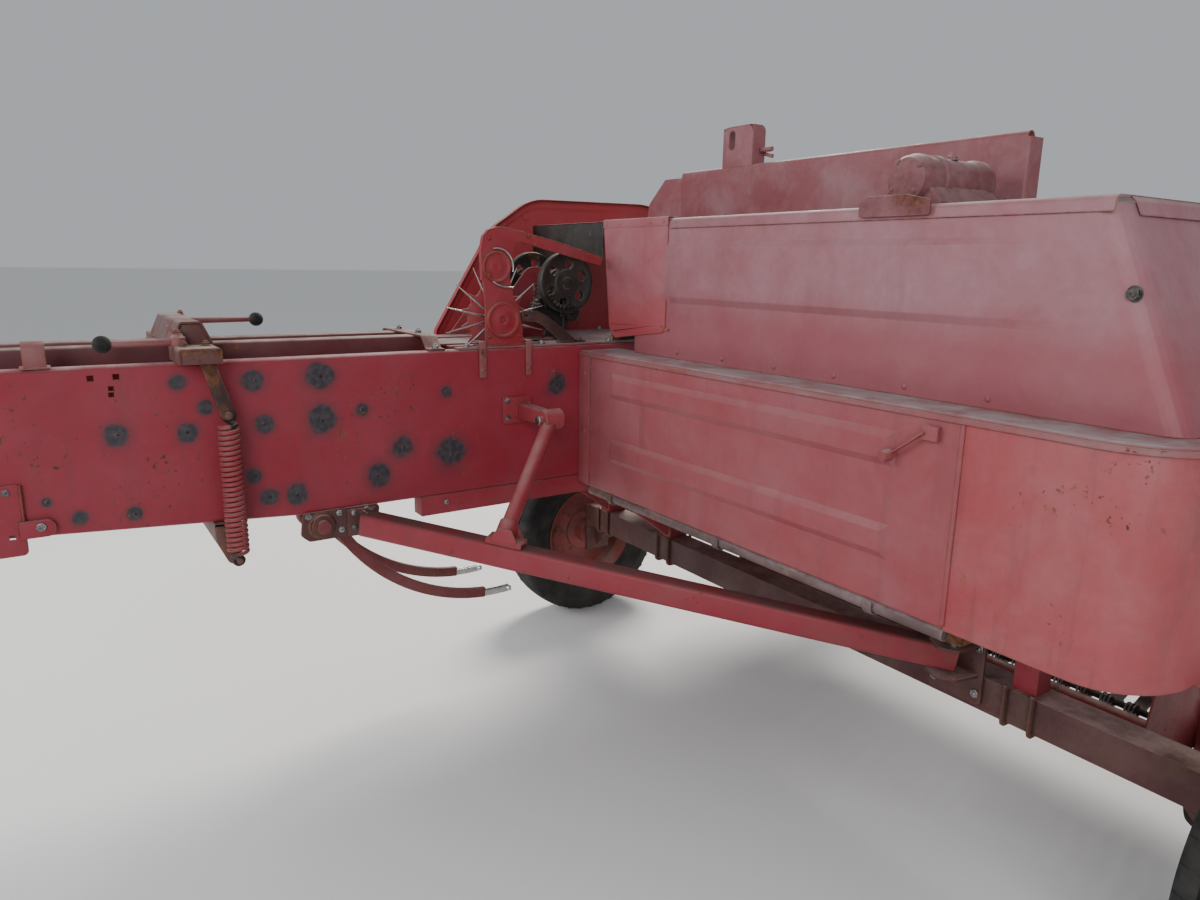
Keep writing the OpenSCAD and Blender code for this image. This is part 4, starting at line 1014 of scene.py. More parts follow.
def makeUpperPanel():
    s = shell
    y = house["shelfDeep"]
    b = s["bend"]
    w = s["wideBend"]
    slope = (s["endLow"] - s["endTop"]) / (s["roof"] - s["low"])
    rightAt = lambda z: s["endLow"] - slope * (z - s["low"])
    top = s["roof"] - b
    panel = loop("upperPanel", [(s["x0"], y, s["low"]), (rightAt(s["low"]) - w, y, s["low"]),
                                (rightAt(top) - w, y, top), (s["x0"], y, top)])
    cutAcross("z", (1.3, 1.388, 1.406, 1.48, 1.548, 1.564))
    cutAcross("x", (0.46, 0.56, 0.85, 1.15, 1.36, 1.5, 1.64, 1.74))
    # the panel stands proud between its two steps, and the steps fade at both ends
    bpy.ops.object.mode_set(mode="OBJECT")
    for vertex in panel.data.vertices:
        place = vertex.co - shift
        if s["steps"][0] < place.z < s["steps"][1]:
            fade = min(1.0, max(0.0, (place.x - 0.5) / 0.1)) * min(1.0, max(0.0, (1.76 - place.x) / 0.3))
            vertex.co.y -= s["proud"] * fade
    edit(panel)
    # the wide bend into the leaning end, then the end itself
    pickEdges(lambda m, d, n: n == 1 and abs(d.z) > 0.5 and m.x > 1.6)
    count = 6
    lastX, lastY = 0.0, 0.0
    for k in range(1, count + 1):
        a = math.radians(90 * k / count)
        x1, y1 = w * math.sin(a), w * (1 - math.cos(a))
        pull(x1 - lastX, y1 - lastY, 0)
        lastX, lastY = x1, y1
    pull(0, 0.16, 0)
    pull(0, house["deep"] - y - w - 0.16, 0)
    # the edges along the panel's top are picked, but no roof bend is pulled from them
    pickEdges(lambda m, d, n: n == 1 and m.z > top - 0.001 and abs(d.z) < 0.3 and m.y < y + 0.07)
    lookTo((0, -1, 0))
    take(panel)
    thicker(panel, 0.004)
    return bevelled(panel, 0.004, 3, 14)


upper = makeUpperPanel()


# roof sheet with a rolled rear edge, and two near-black sheets below it that are painted shade
def makeRoof():
    s = shell
    b = s["bend"]
    y = house["shelfDeep"]
    x0, x1 = -0.23, s["endTop"] - 0.001
    profile = [(y - 0.0045, s["roof"] - 0.03), (y - 0.0025, s["roof"] - b - 0.004), (y - 0.002, s["roof"] - b)]
    profile += [(y + b - (b + 0.002) * math.cos(math.radians(a)), s["roof"] - b + b * math.sin(math.radians(a)))
                for a in range(15, 91, 15)]
    profile += [(0.3, s["roof"]), (0.52, s["roof"])]
    edge = loop("roofEdge", [(s["flapX"] + 0.003, a, z) for a, z in profile], closed=False)
    pullAll(x1 - s["flapX"] - 0.003, 0, 0)
    lookTo((0, 0, 1))
    take(edge)
    thicker(edge, 0.004)
    left = loop("roofLeft", [(x0, y, s["roof"]), (s["flapX"] + 0.004, y, s["roof"]),
                             (s["flapX"] + 0.004, 0.52, s["roof"]), (x0, 0.52, s["roof"])])
    lookTo((0, 0, 1))
    take(left)
    thicker(left, 0.004)
    # the sheet laps over the leaning end with a soft bend
    lap = [(x1 - 0.03, s["roof"] + 0.0005), (x1 - 0.004, s["roof"] - 0.0008), (x1 + 0.009, s["roof"] - 0.012),
           (x1 + 0.02, s["roof"] - 0.036)]
    cover = strap("cover", "y", lap, y + 0.05, 0.52, 0.003, bend=0.01)
    # painted shade: the skirt under the roof's rear edge and the plate inside the house are near-black sheets, dark
    # only because shade falls there
    skirt = plate("skirt", "y", rectangle(-0.274, 0.194, 1.508, 1.634), 0.11, 0.114)
    inside = plate("inside", "x", rectangle(0.13, 0.52, 1.247, 1.629), 0.229, 0.233)
    return joined("upperRoof", [edge, left, cover]), joined("paintedShadePlates", [skirt, inside])


roof, paintedShadePlates = makeRoof()
bevelled(roof, 0.0015, 2, 45)
saddle = strap("saddle", "y", [(1.907, 1.2195), (1.965, 1.2195), (2.02, 1.2195)], 0.151, 0.7, 0.008)
dress(joined("upperShell", [upper, roof, saddle]), "upper", "upper_panel", ("upper_panel", "upper_end", "upper_roof"))
# painted shade: these sheets take the near-black finish to stand for the shade under the roof
dress(paintedShadePlates, "dark", "upper_panel")
dress(fasteners("shellBolt", [(1.845, 0.11, 1.457)], "-y", 1.2), "dark", "upper_panel")
heads = [(0.6 + 0.2 * i, 0.1095, 1.243) for i in range(6)]
dress(fasteners("shellHeads", heads, "-y", 0.55, roundModel), "upper", "upper_panel")


# flap over the right-hand knotter, with rounded corners and turned edges
def makeFlap():
    outline = [(0.204, 1.636), (0.244, 1.301), (0.262, 1.272), (0.281, 1.263), (0.53, 1.297), (0.5425, 1.312),
               (0.5425, 1.636)]
    soft = softened(outline, [0, 0.012, 0.01, 0.012, 0.02, 0.006, 0])
    flap = loop("flap", [(x, 0.1062, z) for x, z in soft])
    selectAll()
    bpy.ops.mesh.inset(thickness=0.005, use_even_offset=False)
    bpy.ops.mesh.inset(thickness=0.012, use_even_offset=False)
    slide(0, -0.002, 0)
    pickEdges(lambda m, d, n: n == 1 and m.z < 1.6)
    pull(0, 0.006, 0)
    lookTo((0, -1, 0))
    take(flap)
    thicker(flap, 0.003)
    bevelled(flap, 0.0025, 3, 14)
    top = strap("hinge", "x", [(0.1045, 1.612), (0.1045, 1.6375), (0.14, 1.6375)], 0.205, 0.545, 0.002, bend=0.004)
    return joined("flap", [flap, top])


flap = makeFlap()
pins = fasteners("flapPins", [(x, 0.104, 1.624) for x in (0.225, 0.3, 0.46, 0.525)], "-y", 0.5, roundModel)
standIn(joined("leftFlap", [flap, pins]), "flap", "left_flap")
print("house's upper shell made")

# front hood: tall sheet with a rolled top, its left wing, right flange and slotted bracket
hood = {"y": 0.5, "top": 1.822, "x0": 0.114, "x1": 1.389, "low": 1.6345, "roll": 0.015}


def makeHood():
    h = hood
    r = h["roll"]
    profile = [(h["y"], h["low"]), (h["y"], h["top"] - r)]
    profile += [(h["y"] + r - r * math.cos(math.radians(a)), h["top"] - r + r * math.sin(math.radians(a)))
                for a in range(15, 181, 15)]
    profile += [(h["y"] + 2 * r, h["top"] - r - 0.006)]
    sheet = loop("hood", [(h["x0"], a, z) for a, z in profile], closed=False)
    pullAll(h["x1"] - h["x0"], 0, 0)
    pickEdges(lambda m, d, n: n == 1 and abs(d.z) > 0.9 and m.z < h["top"] - r and m.y < h["y"] + 0.001 and m.x > 1.0)
    for x, y in [(0.003, 0.001), (0.0035, 0.0035), (0.001, 0.004), (0, 0.046)]:
        pull(x, y, 0)
    lookTo((0, -1, 0))
    take(sheet)
    thicker(sheet, 0.0035)
    bevelled(sheet, 0.001, 2, 50)
    wing = plate("wing", "y", softened([(-0.09, h["low"]), (0.115, h["low"]), (0.115, 1.802), (0.018, 1.802),
                                        (-0.076, 1.718)], [0, 0, 0, 0.01, 0.03]), 0.4995, 0.5035)
    face = plate("bracketFace", "y", softened(rectangle(0.322, 0.463, 1.8, 1.946), [0.004, 0.004, 0.03, 0.03]),
                 0.5035, 0.5085, edge=0.001)
    slot = plate("cutter", "y", softened(rectangle(0.35, 0.38, 1.872, 1.932), 0.014), 0.49, 0.52, edge=0)
    carve(face, slot)
    legs = [plate("leg", "x", softened(rectangle(0.5045, 0.558, 1.735, 1.944), [0, 0.02, 0.02, 0]), x, x + 0.005)
            for x in (0.3205, 0.4595)]
    cap = block("bracketCap", (0.3345, 0.4505), (0.5045, 0.558), (1.9415, 1.946), 0.0015)
    lever = strap("lever", "y", [(0.405, 1.877), (0.455, 1.86), (0.508, 1.845)], 0.548, 0.556, 0.012)
    pin = rod("pin", (0.445, 0.54, 1.866), (0.515, 0.54, 1.866), 0.008)
    stiff = [strap("rib", "y", [(x, h["low"] + 0.004), (x, h["top"] - 0.02)], 0.503, 0.52, 0.004) for x in (0.6, 1.0)]
    return joined("frontHood", [sheet, wing, face, *legs, cap, lever, pin, *stiff])


hoodPiece = makeHood()
hoodNuts = fasteners("hoodNuts", [(x, 0.4995, 1.655) for x in (-0.05, 0.08, 0.35, 0.75, 1.1, 1.35)], "-y", 0.8)
standIn(joined("frontHood", [hoodPiece, hoodNuts]), "hood", "front_hood")

# feeder gearbox on the roof: dusty casting with a cap ring, ribs and a base
gearbox = {"x": 1.321, "z": 1.692, "y0": 0.16}
g = gearbox
profile = [(0.0, 0.0), (0.0, 0.034), (0.004, 0.047), (0.012, 0.0525), (0.022, 0.054), (0.03, 0.057), (0.042, 0.057),
           (0.046, 0.0535), (0.075, 0.053), (0.079, 0.057), (0.098, 0.057), (0.102, 0.0525), (0.23, 0.0525),
           (0.238, 0.057), (0.26, 0.057), (0.268, 0.05), (0.27, 0.0)]
casting = turned("casting", [(a - 0.008, r) for a, r in profile], (g["x"], g["y0"], g["z"]), "y", 44)
foot = plate("foot", "y", softened([(g["x"] - 0.09, 1.6345), (g["x"] + 0.09, 1.6345), (g["x"] + 0.046, g["z"] - 0.01),
                                    (g["x"] - 0.046, g["z"] - 0.01)], 0.006), 0.172, 0.408, edge=0.006, segments=3)
base = plate("base", "y", softened([(g["x"] - 0.074, 1.61), (g["x"] + 0.11, 1.61), (g["x"] + 0.11, 1.642),
        (g["x"] + 0.05, 1.655), (g["x"] - 0.05, 1.655), (g["x"] - 0.074, 1.642)], 0.006), 0.096, 0.102)
deck = block("deck", (g["x"] - 0.06, g["x"] + 0.06), (0.098, 0.17), (1.6345, 1.643), 0.003)
ribs = [strap("rib", "y", [(g["x"] + 0.03 * s, g["z"] - 0.03), (g["x"] + 0.098 * s, 1.6375)], y, y + 0.008, 0.006)
        for s in (-1, 1) for y in (0.19, 0.28, 0.37)]
plug = fasteners("plug", [(g["x"] + 0.012, 0.3, g["z"] + 0.05)], "+z", 1.1)
capBolts = fasteners("capBolts", boltRing("y", 0.1535, g["x"], g["z"], 0.04, (0.6, 2.2, 3.8, 5.4)), "-y", 0.62)
footBolts = fasteners("footBolts", [(g["x"] + s * 0.078, y, 1.6375) for s in (-1, 1) for y in (0.2, 0.36)], "+z", 0.8)
standIn(joined("feederGearbox", [casting, foot, base, deck, *ribs, plug, capBolts, footBolts]), "casting",
        "feeder_gearbox")
print("hood and gearbox made")


# left side's drive shield: one sheet with rounded corners and a flanged edge
def makeShield():
    outline = [(-0.18, 1.12), (1.08, 1.12), (1.08, 1.42), (1.01, 1.64), (0.64, 1.736), (0.11, 1.73), (-0.055, 1.62),
               (-0.29, 1.24)]
    soft = softened(outline, [0.05, 0.05, 0.12, 0.14, 0.3, 0.19, 0.16, 0.04], 7)
    sheet = loop("shield", [(-0.3105, a, z) for a, z in soft])
    selectAll()
    bpy.ops.mesh.inset(thickness=0.026, use_even_offset=False)
    bpy.ops.mesh.inset(thickness=0.012, use_even_offset=False)
    slide(-0.005, 0, 0)
    pickEdges(lambda m, d, n: n == 1)
    pull(0.004, 0, 0)
    pull(0.02, 0, 0)
    lookTo((-1, 0, 0))
    take(sheet)
    thicker(sheet, 0.003)
    bevelled(sheet, 0.003, 3, 14)
    held = [(-0.1, 1.16), (0.48, 1.16), (1.0, 1.16)]
    stays = [rod("stay", (-0.234, a, z), (-0.3105, a, z), 0.014) for a, z in held]
    nuts = fasteners("nuts", [(-0.314, a, z) for a, z in [*held, (0.1, 1.66), (0.9, 1.6)]], "-x")
    return joined("leftShield", [sheet, *stays, nuts])


standIn(makeShield(), "shieldRed", "left_shield")
print("left shield made")

# tension gear: round-wire coil springs, cranks with ball knobs, the beam and its arms

tension = {
    "y": -1.15, "springX": 0.286, "springY": -1.095, "top": 1.08, "low": 0.742, "coil": 0.023, "wire": 0.0056,
    "turns": 25, "beam": 1.24, "cranks": [(-1, 0.205, 1.302), (1, 0.16, 1.278)],
}


def makeSpring(side):
    t = tension
    centre = Vector((side * t["springX"], t["springY"], t["low"])) + shift
    clearSelection()
    bpy.ops.mesh.primitive_circle_add(vertices=10, radius=t["wire"], location=(t["coil"], 0, 0),
                                      rotation=(math.radians(90), 0, 0))
    coil = settle(bpy.context.object)
    applyModifier(coil, "SCREW", axis="Z", angle=math.tau, screw_offset=(t["top"] - t["low"]) / t["turns"],
                  iterations=t["turns"], steps=22, render_steps=22, use_merge_vertices=False)
    coil.data.transform(Matrix.Translation(centre))
    edit(coil)
    pickEdges(lambda m, d, n: n == 1)
    bpy.ops.mesh.edge_face_add()
    outward()
    take(coil)
    x, y = side * t["springX"], t["springY"]
    r = t["coil"]
    top = [(x + r, y, t["top"]), (x + r * 0.75, y + 0.022, t["top"] + 0.004),
           (x + 0.004, y + 0.012, t["top"] + 0.005), (x, y, t["top"] + 0.012), (x, y - 0.016, t["top"] + 0.024),
           (x, y - 0.01, t["top"] + 0.044), (x, y + 0.01, t["top"] + 0.045), (x, y + 0.019, t["top"] + 0.028),
           (x, y + 0.012, t["top"] + 0.012)]
    low = [(x + r, y, t["low"]), (x + r * 0.75, y - 0.022, t["low"] - 0.004), (x + 0.004, y - 0.01, t["low"] - 0.004),
           (x, y, t["low"] - 0.01), (x, y + 0.014, t["low"] - 0.02), (x, y + 0.008, t["low"] - 0.036),
           (x, y - 0.008, t["low"] - 0.036), (x, y - 0.014, t["low"] - 0.022)]
    hooks = [tube("hook", line, t["wire"] * 0.95) for line in (top, low)]
    return coil, hooks


springs = []
hooks = []
for side in (-1, 1):
    coil, ends = makeSpring(side)
    springs.append(coil)
    hooks += ends
standIn(joined("tensionSprings", springs), "springRed", "tension_springs", 60)
dress(joined("springHooks", hooks), "dark", "tension_springs", smooth=60)

bars = []
knobs = []
for side, length, z in tension["cranks"]:
    x, y = side * 0.214, tension["y"] - side * 0.034
    tip = y - side * length
    bars.append(rod("screw", (x, y, 1.262), (x, y, z + 0.014), 0.011, 20))
    bars.append(turned("hub", [(z - 0.001, 0.011), (z + 0.002, 0.019), (z + 0.024, 0.019), (z + 0.028, 0.014),
                               (z + 0.034, 0.011), (z + 0.036, 0.0)], (x, y, 0), "z", 24))
    bars.append(rod("handle", (x, y, z + 0.013), (x, tip, z + 0.013), 0.0095, 16, far=0.0075))
    bars.append(fasteners("nut", [(x, y, z + 0.032)], "+z", 0.9))
    ball = turned("ball", [(side * 0.0115, 0.0)] + [(-side * 0.021 * math.cos(math.radians(a)),
            0.021 * math.sin(math.radians(a))) for a in range(150, 0, -12)] + [(-side * 0.021, 0.0)],
                  (x, tip - side * 0.006, z + 0.013), "y", 24)
    knobs.append(ball)
    if side > 0:
        bars.append(strap("lug", "x", [(y + 0.02, 1.276), (y - 0.012, 1.318), (y - 0.02, 1.332)], x - 0.008,
                          x + 0.008, 0.006))
standIn(joined("tensionCranks", bars), "dusty", "tension_cranks")
dress(joined("crankKnobs", knobs), "knob", "tension_cranks", smooth=60)


# the frame: a folded saddle over the rails with a box at each end, arms, and a tube below with hangers
def makeTensionFrame():
    t = tension
    y, top = t["y"], t["beam"]
    ridge = [(y - 0.05, top + 0.038), (y - 0.024, top + 0.097), (y + 0.024, top + 0.097), (y + 0.05, top + 0.038)]
    pieces = [strap("saddle", "x", ridge, -0.2, 0.2, 0.006, 0.0015, 0.008)]
    for side in (-1, 1):
        x = side * t["springX"]
        inner, outer = side * 0.159, side * 0.319
        box = [(y - 0.047, top + 0.003), (y - 0.047, top + 0.039), (y + 0.047, top + 0.039), (y + 0.047, top + 0.003)]
        pieces.append(strap("endBox", "x", box, *sorted((inner, outer)), 0.006, 0.0015, 0.006))
        pieces.append(plate("endCap", "x", softened(box, [0, 0.006, 0.006, 0]),
                            *sorted((outer - side * 0.009, outer - side * 0.003)), edge=0.001))
        arm = softened([(y - 0.006, 1.27), (y + 0.026, 1.278), (y + 0.0754, 1.1), (y + 0.0426, 1.091)],
                       [0.004, 0.004, 0.016, 0.016])
        arms = [plate("arm", "x", arm, x - 0.007, x + 0.007, edge=0.002),
                rod("topPin", (x - 0.02, t["springY"], 1.1085), (x + 0.02, t["springY"], 1.1085), 0.009, 18)]
        dress(joined("tensionArm", arms), "oldIron", "tension_frame")
        hanger = softened([(y + 0.009, 0.81), (y + 0.062, 0.8), (y + 0.072, 0.71), (y + 0.038, 0.7),
                           (y + 0.009, 0.765)], [0.004, 0.01, 0.014, 0.014, 0.01])
        pieces.append(plate("hanger", "x", hanger, *sorted((side * 0.252, side * 0.259)), edge=0.0015))
        pinY, pinZ = t["springY"], 0.7195
        pieces.append(rod("lowPin", (side * 0.25, pinY, pinZ), (side * 0.302, pinY, pinZ), 0.008, 18))
        look = outLook[side]
        pieces.append(fasteners("hangerNuts", [(side * 0.259, y + 0.03, 0.79)], look, 1.0))
        pieces.append(fasteners("pinHeads", [(x + side * 0.02, t["springY"], 1.1085)], look, 0.9, roundModel))
        pieces.append(fasteners("boxNuts", [(x - side * 0.045, y - 0.025, top + 0.042),
                                            (x - side * 0.045, y + 0.025, top + 0.042)], "+z", 0.9))
        pieces.append(weld((side * 0.2, y - 0.045, top + 0.0435), (side * 0.2, y - 0.026, top + 0.092), 0.003))
        end = [(y - 0.046, top + 0.041), (y - 0.023, top + 0.0925), (y + 0.023, top + 0.0925),
               (y + 0.046, top + 0.041)]
        pieces.append(plate("saddleEnd", "x", end, *sorted((side * 0.19, side * 0.196)), edge=0.001))
    tube = block("crossTube", (-0.252, 0.252), (y + 0.009, y + 0.049), (0.762, 0.8125), 0)
    edit(tube)
    pickFaces(lambda m, n: abs(n.x) > 0.9)
    bpy.ops.mesh.inset(thickness=0.005)
    for side in (1, -1):
        pickFaces(lambda m, n: n.x * side > 0.9 and abs(m.z - 0.787) < 0.001 and abs(m.y - y - 0.029) < 0.001)
        slide(-0.04 * side, 0, 0)
    take(tube)
    pieces.append(bevelled(tube, 0.003, 2))
    return joined("tensionFrame", pieces)


standIn(makeTensionFrame(), "brown", "tension_frame")
print("tension gear made")

# tying gear: near plate, knotters with their cams, twine discs and bill hooks
tying = {"y": -0.005, "z": 1.435, "pitch": 0.23, "starX": 0.184, "starY": -0.281, "starZ": 1.326, "starR": 0.168}


def makeNearPlate():
    outline = [(-0.338, 1.246), (-0.337, 1.366), (-0.344, 1.446), (-0.348, 1.533), (-0.34, 1.572), (-0.322, 1.592),
               (-0.294, 1.601), (-0.255, 1.599), (-0.06, 1.557), (0.093, 1.516), (0.08, 1.492), (-0.221, 1.561),
               (-0.243, 1.533), (-0.25, 1.496), (-0.252, 1.446), (-0.24, 1.396), (-0.222, 1.365), (-0.21, 1.303),
               (-0.206, 1.246)]
    corners = [0.004, 0.03, 0.05, 0.03, 0.02, 0.02, 0.02, 0.03, 0.2, 0.01, 0.006, 0.012, 0.02, 0.03, 0.04, 0.03, 0.03,
               0.03, 0.004]
    near = plate("nearPlate", "x", softened(outline, corners), 0.22, 0.228, (), 0.002)
    rim = strap("rim", "x", softened(outline[2:10], [0, 0.02, 0.012, 0.012, 0.012, 0.02, 0.1, 0], 4), 0.212, 0.2285,
                0.004)
    foot = plate("plateFoot", "z", softened(rectangle(0.18, 0.231, -0.36, -0.19), 0.008), 1.2465, 1.2515)
    hubs = [
        turned("drumNear", [(0.0, 0.0), (0.006, 0.009), (0.012, 0.012), (0.0125, 0.02), (0.009, 0.026),
                            (0.009, 0.044), (0.0135, 0.047), (0.0135, 0.053), (-0.004, 0.055)],
               (0.228, -0.281, 1.326), "x"),
        turned("drumAbove", [(0.004, 0.0), (0.006, 0.01), (0.006, 0.018), (0.0025, 0.024), (0.0025, 0.037),
                             (0.007, 0.041), (0.007, 0.046), (-0.004, 0.048)], (0.228, -0.299, 1.485), "x"),
        rod("axle", (0.18, -0.281, 1.326), (0.236, -0.281, 1.326), 0.0095),
    ]
    nuts = fasteners("nuts", [(0.228, a, z) for a, z in [(-0.323, 1.562), (-0.325, 1.27), (-0.22, 1.27),
                                                         (-0.19, 1.572), (0.03, 1.52)]], "+x", 0.7)
    stud = fasteners("stud", [(0.228, -0.326, 1.455)], "+x", 1.15)
    upper = [(0.234, *spot) for spot in arc(-0.299, 1.485, 0.055, range(105, -25, -10))]
    lower = [(0.234, -0.314, 1.443), (0.236, -0.3, 1.43), (0.236, -0.275, 1.422), (0.234, -0.244, 1.424)]
    hooks = [tube("wire", upper, 0.0026), tube("wire", lower, 0.003)]
    return joined("knotterFrame", [near, rim, foot, *hubs, nuts, stud]), hooks


nearPlate, wires = makeNearPlate()
inner = []
for x in (-0.004, -0.228):
    inner.append(plate("innerPlate", "x", softened([(-0.26, 1.246), (0.07, 1.246), (0.045, 1.485), (-0.065, 1.485)],
            [0, 0, 0.045, 0.045]), x, x + 0.008, [(-0.005, 1.435, 0.0203)], 0.002))
    inner.append(turned("bush", [(-0.006, 0.0203), (-0.006, 0.034), (0.014, 0.034), (0.014, 0.0203)],
                        (x, -0.005, 1.435), "x"))
    inner.append(strap("foot", "x", [(-0.2, 1.247), (-0.02, 1.247)], x, x + 0.04, 0.004))
standIn(joined("knotterFrame", [nearPlate, *inner]), "red", "knotter_frame")
dress(joined("trimWires", wires), "steel", "knotter_frame", smooth=60)

# the arm that runs forward over the wall, bent from flat bar
armShape = [(-0.207, 1.352), (-0.15, 1.35), (-0.108, 1.33), (0.004, 1.247), (-0.06, 1.247), (-0.13, 1.303),
            (-0.155, 1.316), (-0.207, 1.32)]
arm = [
    plate("arm", "x", softened(armShape, [0.008, 0.02, 0.02, 0.004, 0.004, 0.02, 0.012, 0.008]), 0.213, 0.22,
          [(-0.192, 1.336, 0.006)], 0.0015),
    strap("armFoot", "x", [(-0.07, 1.2495), (0.03, 1.2495)], 0.196, 0.221, 0.005),
    fasteners("armNut", [(0.208, 0.012, 1.252)], "+z", 0.9),
]
dress(joined("benderArm", arm), "oldIron", "knotter_frame")


def makeKnotter(x):
    t = tying
    y, z = t["y"], t["z"]
    cam = turned("cam", [(0.022, 0.0), (0.022, 0.042), (0.026, 0.046), (0.026, 0.08), (0.022, 0.086), (0.022, 0.099),
                         (0.025, 0.1), (0.043, 0.1), (0.046, 0.098), (0.046, 0.086), (0.042, 0.08), (0.042, 0.046),
                         (0.046, 0.042), (0.046, 0.0)], (x, y, z), "x", 48)
    for spot in arc(y, z, 0.063, range(20, 380, 60)):
        carve(cam, rod("cutter", (x + 0.01, *spot), (x + 0.06, *spot), 0.0165, 20, edge=0))
    bevelled(cam, 0.0012, 2, 40)
    tooth = block("tooth", (x + 0.0465, x + 0.054), (y - 0.004, y + 0.004), (z + 0.074, z + 0.084), 0.001, 1)
    teeth = [another(tooth, turnAbout((x, y, z), "x", math.radians(10 * k + 120))) for k in range(9)]
    bpy.data.objects.remove(tooth)
    hub = turned("hub", [(-0.03, 0.0), (-0.03, 0.034), (-0.024, 0.044), (-0.004, 0.044), (0.0, 0.036), (0.018, 0.034),
                         (0.024, 0.03), (0.024, 0.0)], (x, y, z), "x", 32)
    disc = turned("twineDisc", [(-0.04, 0.0), (-0.04, 0.012), (-0.037, 0.018), (-0.037, 0.036), (-0.04, 0.044),
            (-0.036, 0.044), (-0.033, 0.038), (-0.03, 0.044), (-0.026, 0.044), (-0.026, 0.02), (-0.02, 0.014),
            (-0.008, 0.013), (-0.008, 0.0)], (x, -0.055, z - 0.09), "x", 36)
    for spot in arc(-0.055, z - 0.09, 0.044, range(0, 360, 45)):
        carve(disc, rod("cutter", (x - 0.05, *spot), (x - 0.01, *spot), 0.0065, 12, edge=0))
    frameBody = plate("body", "x", softened([(-0.03, z - 0.02), (0.035, z - 0.03), (0.04, z - 0.12),
            (0.008, z - 0.15), (-0.03, z - 0.14), (-0.12, z - 0.1), (-0.1, z - 0.06)], 0.014), x - 0.022, x - 0.002,
                      edge=0.005, segments=3)
    bill = [
        rod("billShaft", (x - 0.012, 0.015, z - 0.04), (x - 0.012, 0.015, z - 0.15), 0.013, 20),
        turned("billCollar", [(z - 0.112, 0.012), (z - 0.11, 0.02), (z - 0.092, 0.021), (z - 0.09, 0.012)],
               (x - 0.012, 0.015, 0), "z", 24),
        tube("billHook", [(x - 0.012, 0.015, z - 0.145), (x - 0.012, 0.008, z - 0.168), (x - 0.012, -0.02, z - 0.174),
                          (x - 0.012, -0.06, z - 0.164)], 0.0075),
        tube("jaw", [(x - 0.012, 0.0, z - 0.163), (x - 0.012, -0.02, z - 0.158), (x - 0.012, -0.052, z - 0.155)],
             0.0045),
    ]
    wiper = strap("wiper", "x", [(0.03, z - 0.12), (-0.02, z - 0.19), (-0.11, z - 0.188)], x - 0.02, x + 0.002, 0.006,
                  bend=0.02)
    spring = tube("clampSpring", [(x + 0.008, -0.1 + 0.012 * math.cos(k * 0.9),
            z - 0.06 + 0.002 * k + 0.012 * math.sin(k * 0.9)) for k in range(30)], 0.0022, True, 3, 8)
    stay = rod("stay", (x - 0.03, -0.1, z - 0.07), (x + 0.03, -0.1, z - 0.07), 0.006, 14)
    nuts = fasteners("nuts", [(x - 0.002, a, b) for a, b in [(-0.06, z - 0.08), (0.02, z - 0.06),
                                                             (-0.095, z - 0.085)]], "+x", 0.6)
    gear = turned("gear", [(-0.019, 0.0), (-0.019, 0.024), (-0.012, 0.028), (-0.004, 0.022), (-0.002, 0.0)],
                  (x + 0.034, 0.03, z - 0.098), "x", 18)
    return [cam, *teeth, hub, disc, frameBody, *bill, wiper, spring, stay, nuts, gear]


knotterParts = []
for side in (-1, 1):
    knotterParts += makeKnotter(side * tying["pitch"] / 2)
knotterParts.append(rod("shaft", (-0.279, tying["y"], tying["z"]), (0.166, tying["y"], tying["z"]), 0.019, 28))
knotterParts.append(turned("endDisc", [(-0.28, 0.0), (-0.28, 0.026), (-0.276, 0.03), (-0.276, 0.05), (-0.279, 0.058),
                                       (-0.265, 0.058), (-0.265, 0.0)], (0, tying["y"], tying["z"]), "x", 36))
knotterParts.append(fasteners("pin", [(-0.28, 0.03, 1.46), (-0.28, -0.04, 1.41)], "-x", 0.8))
standIn(joined("knotterPair", knotterParts), "dark", "knotters", 38)


# measuring wheel: red disc on a hub, long bright spikes
def makeStar():
    t = tying
    centre = (t["starX"], t["starY"], t["starZ"])
    disc = turned("disc", [(-0.008, 0.0105), (-0.008, 0.032), (-0.006, 0.034), (-0.006, 0.09), (-0.004, 0.094),
                           (0.0, 0.094), (0.002, 0.09), (0.002, 0.034), (0.014, 0.033), (0.014, 0.0105),
                           (-0.008, 0.0105)], centre, "x", 56)
    tooth = plate("tooth", "x", [(centre[1] - 0.02, centre[2] + 0.086), (centre[1] + 0.006, centre[2] + 0.118),
            (centre[1] + 0.016, centre[2] + 0.086)], centre[0] - 0.005, centre[0] + 0.001, edge=0.0012, segments=1)
    disc = joined("disc", [disc, around(tooth, centre, "x", 14)])
    spike = rod("spike", (centre[0] + 0.001, centre[1], centre[2] + 0.034),
                (centre[0] + 0.001, centre[1], centre[2] + t["starR"] + 0.004), 0.0055, 10, edge=0, far=0.0012)
    spikes = [another(spike, turnAbout(centre, "x", math.tau * k / 14)) for k in range(14)]
    bpy.data.objects.remove(spike)
    return disc, joined("starSpikes", spikes)


disc, spikes = makeStar()
standIn(disc, "red", "star_wheel")
dress(spikes, "steel", "star_wheel", smooth=60)
print("tying gear made")


# needles: two bent bars on their shaft, with polished tips
needles = {"c": (-0.257, 1.005), "r": 0.62, "h": 0.034, "from": 204, "to": 266, "tip": 276, "shaft": (-0.864, 0.766)}


def arcPoints(radius, a0, a1, count):
    return arc(*needles["c"], radius, [a0 + (a1 - a0) * k / count for k in range(count + 1)])


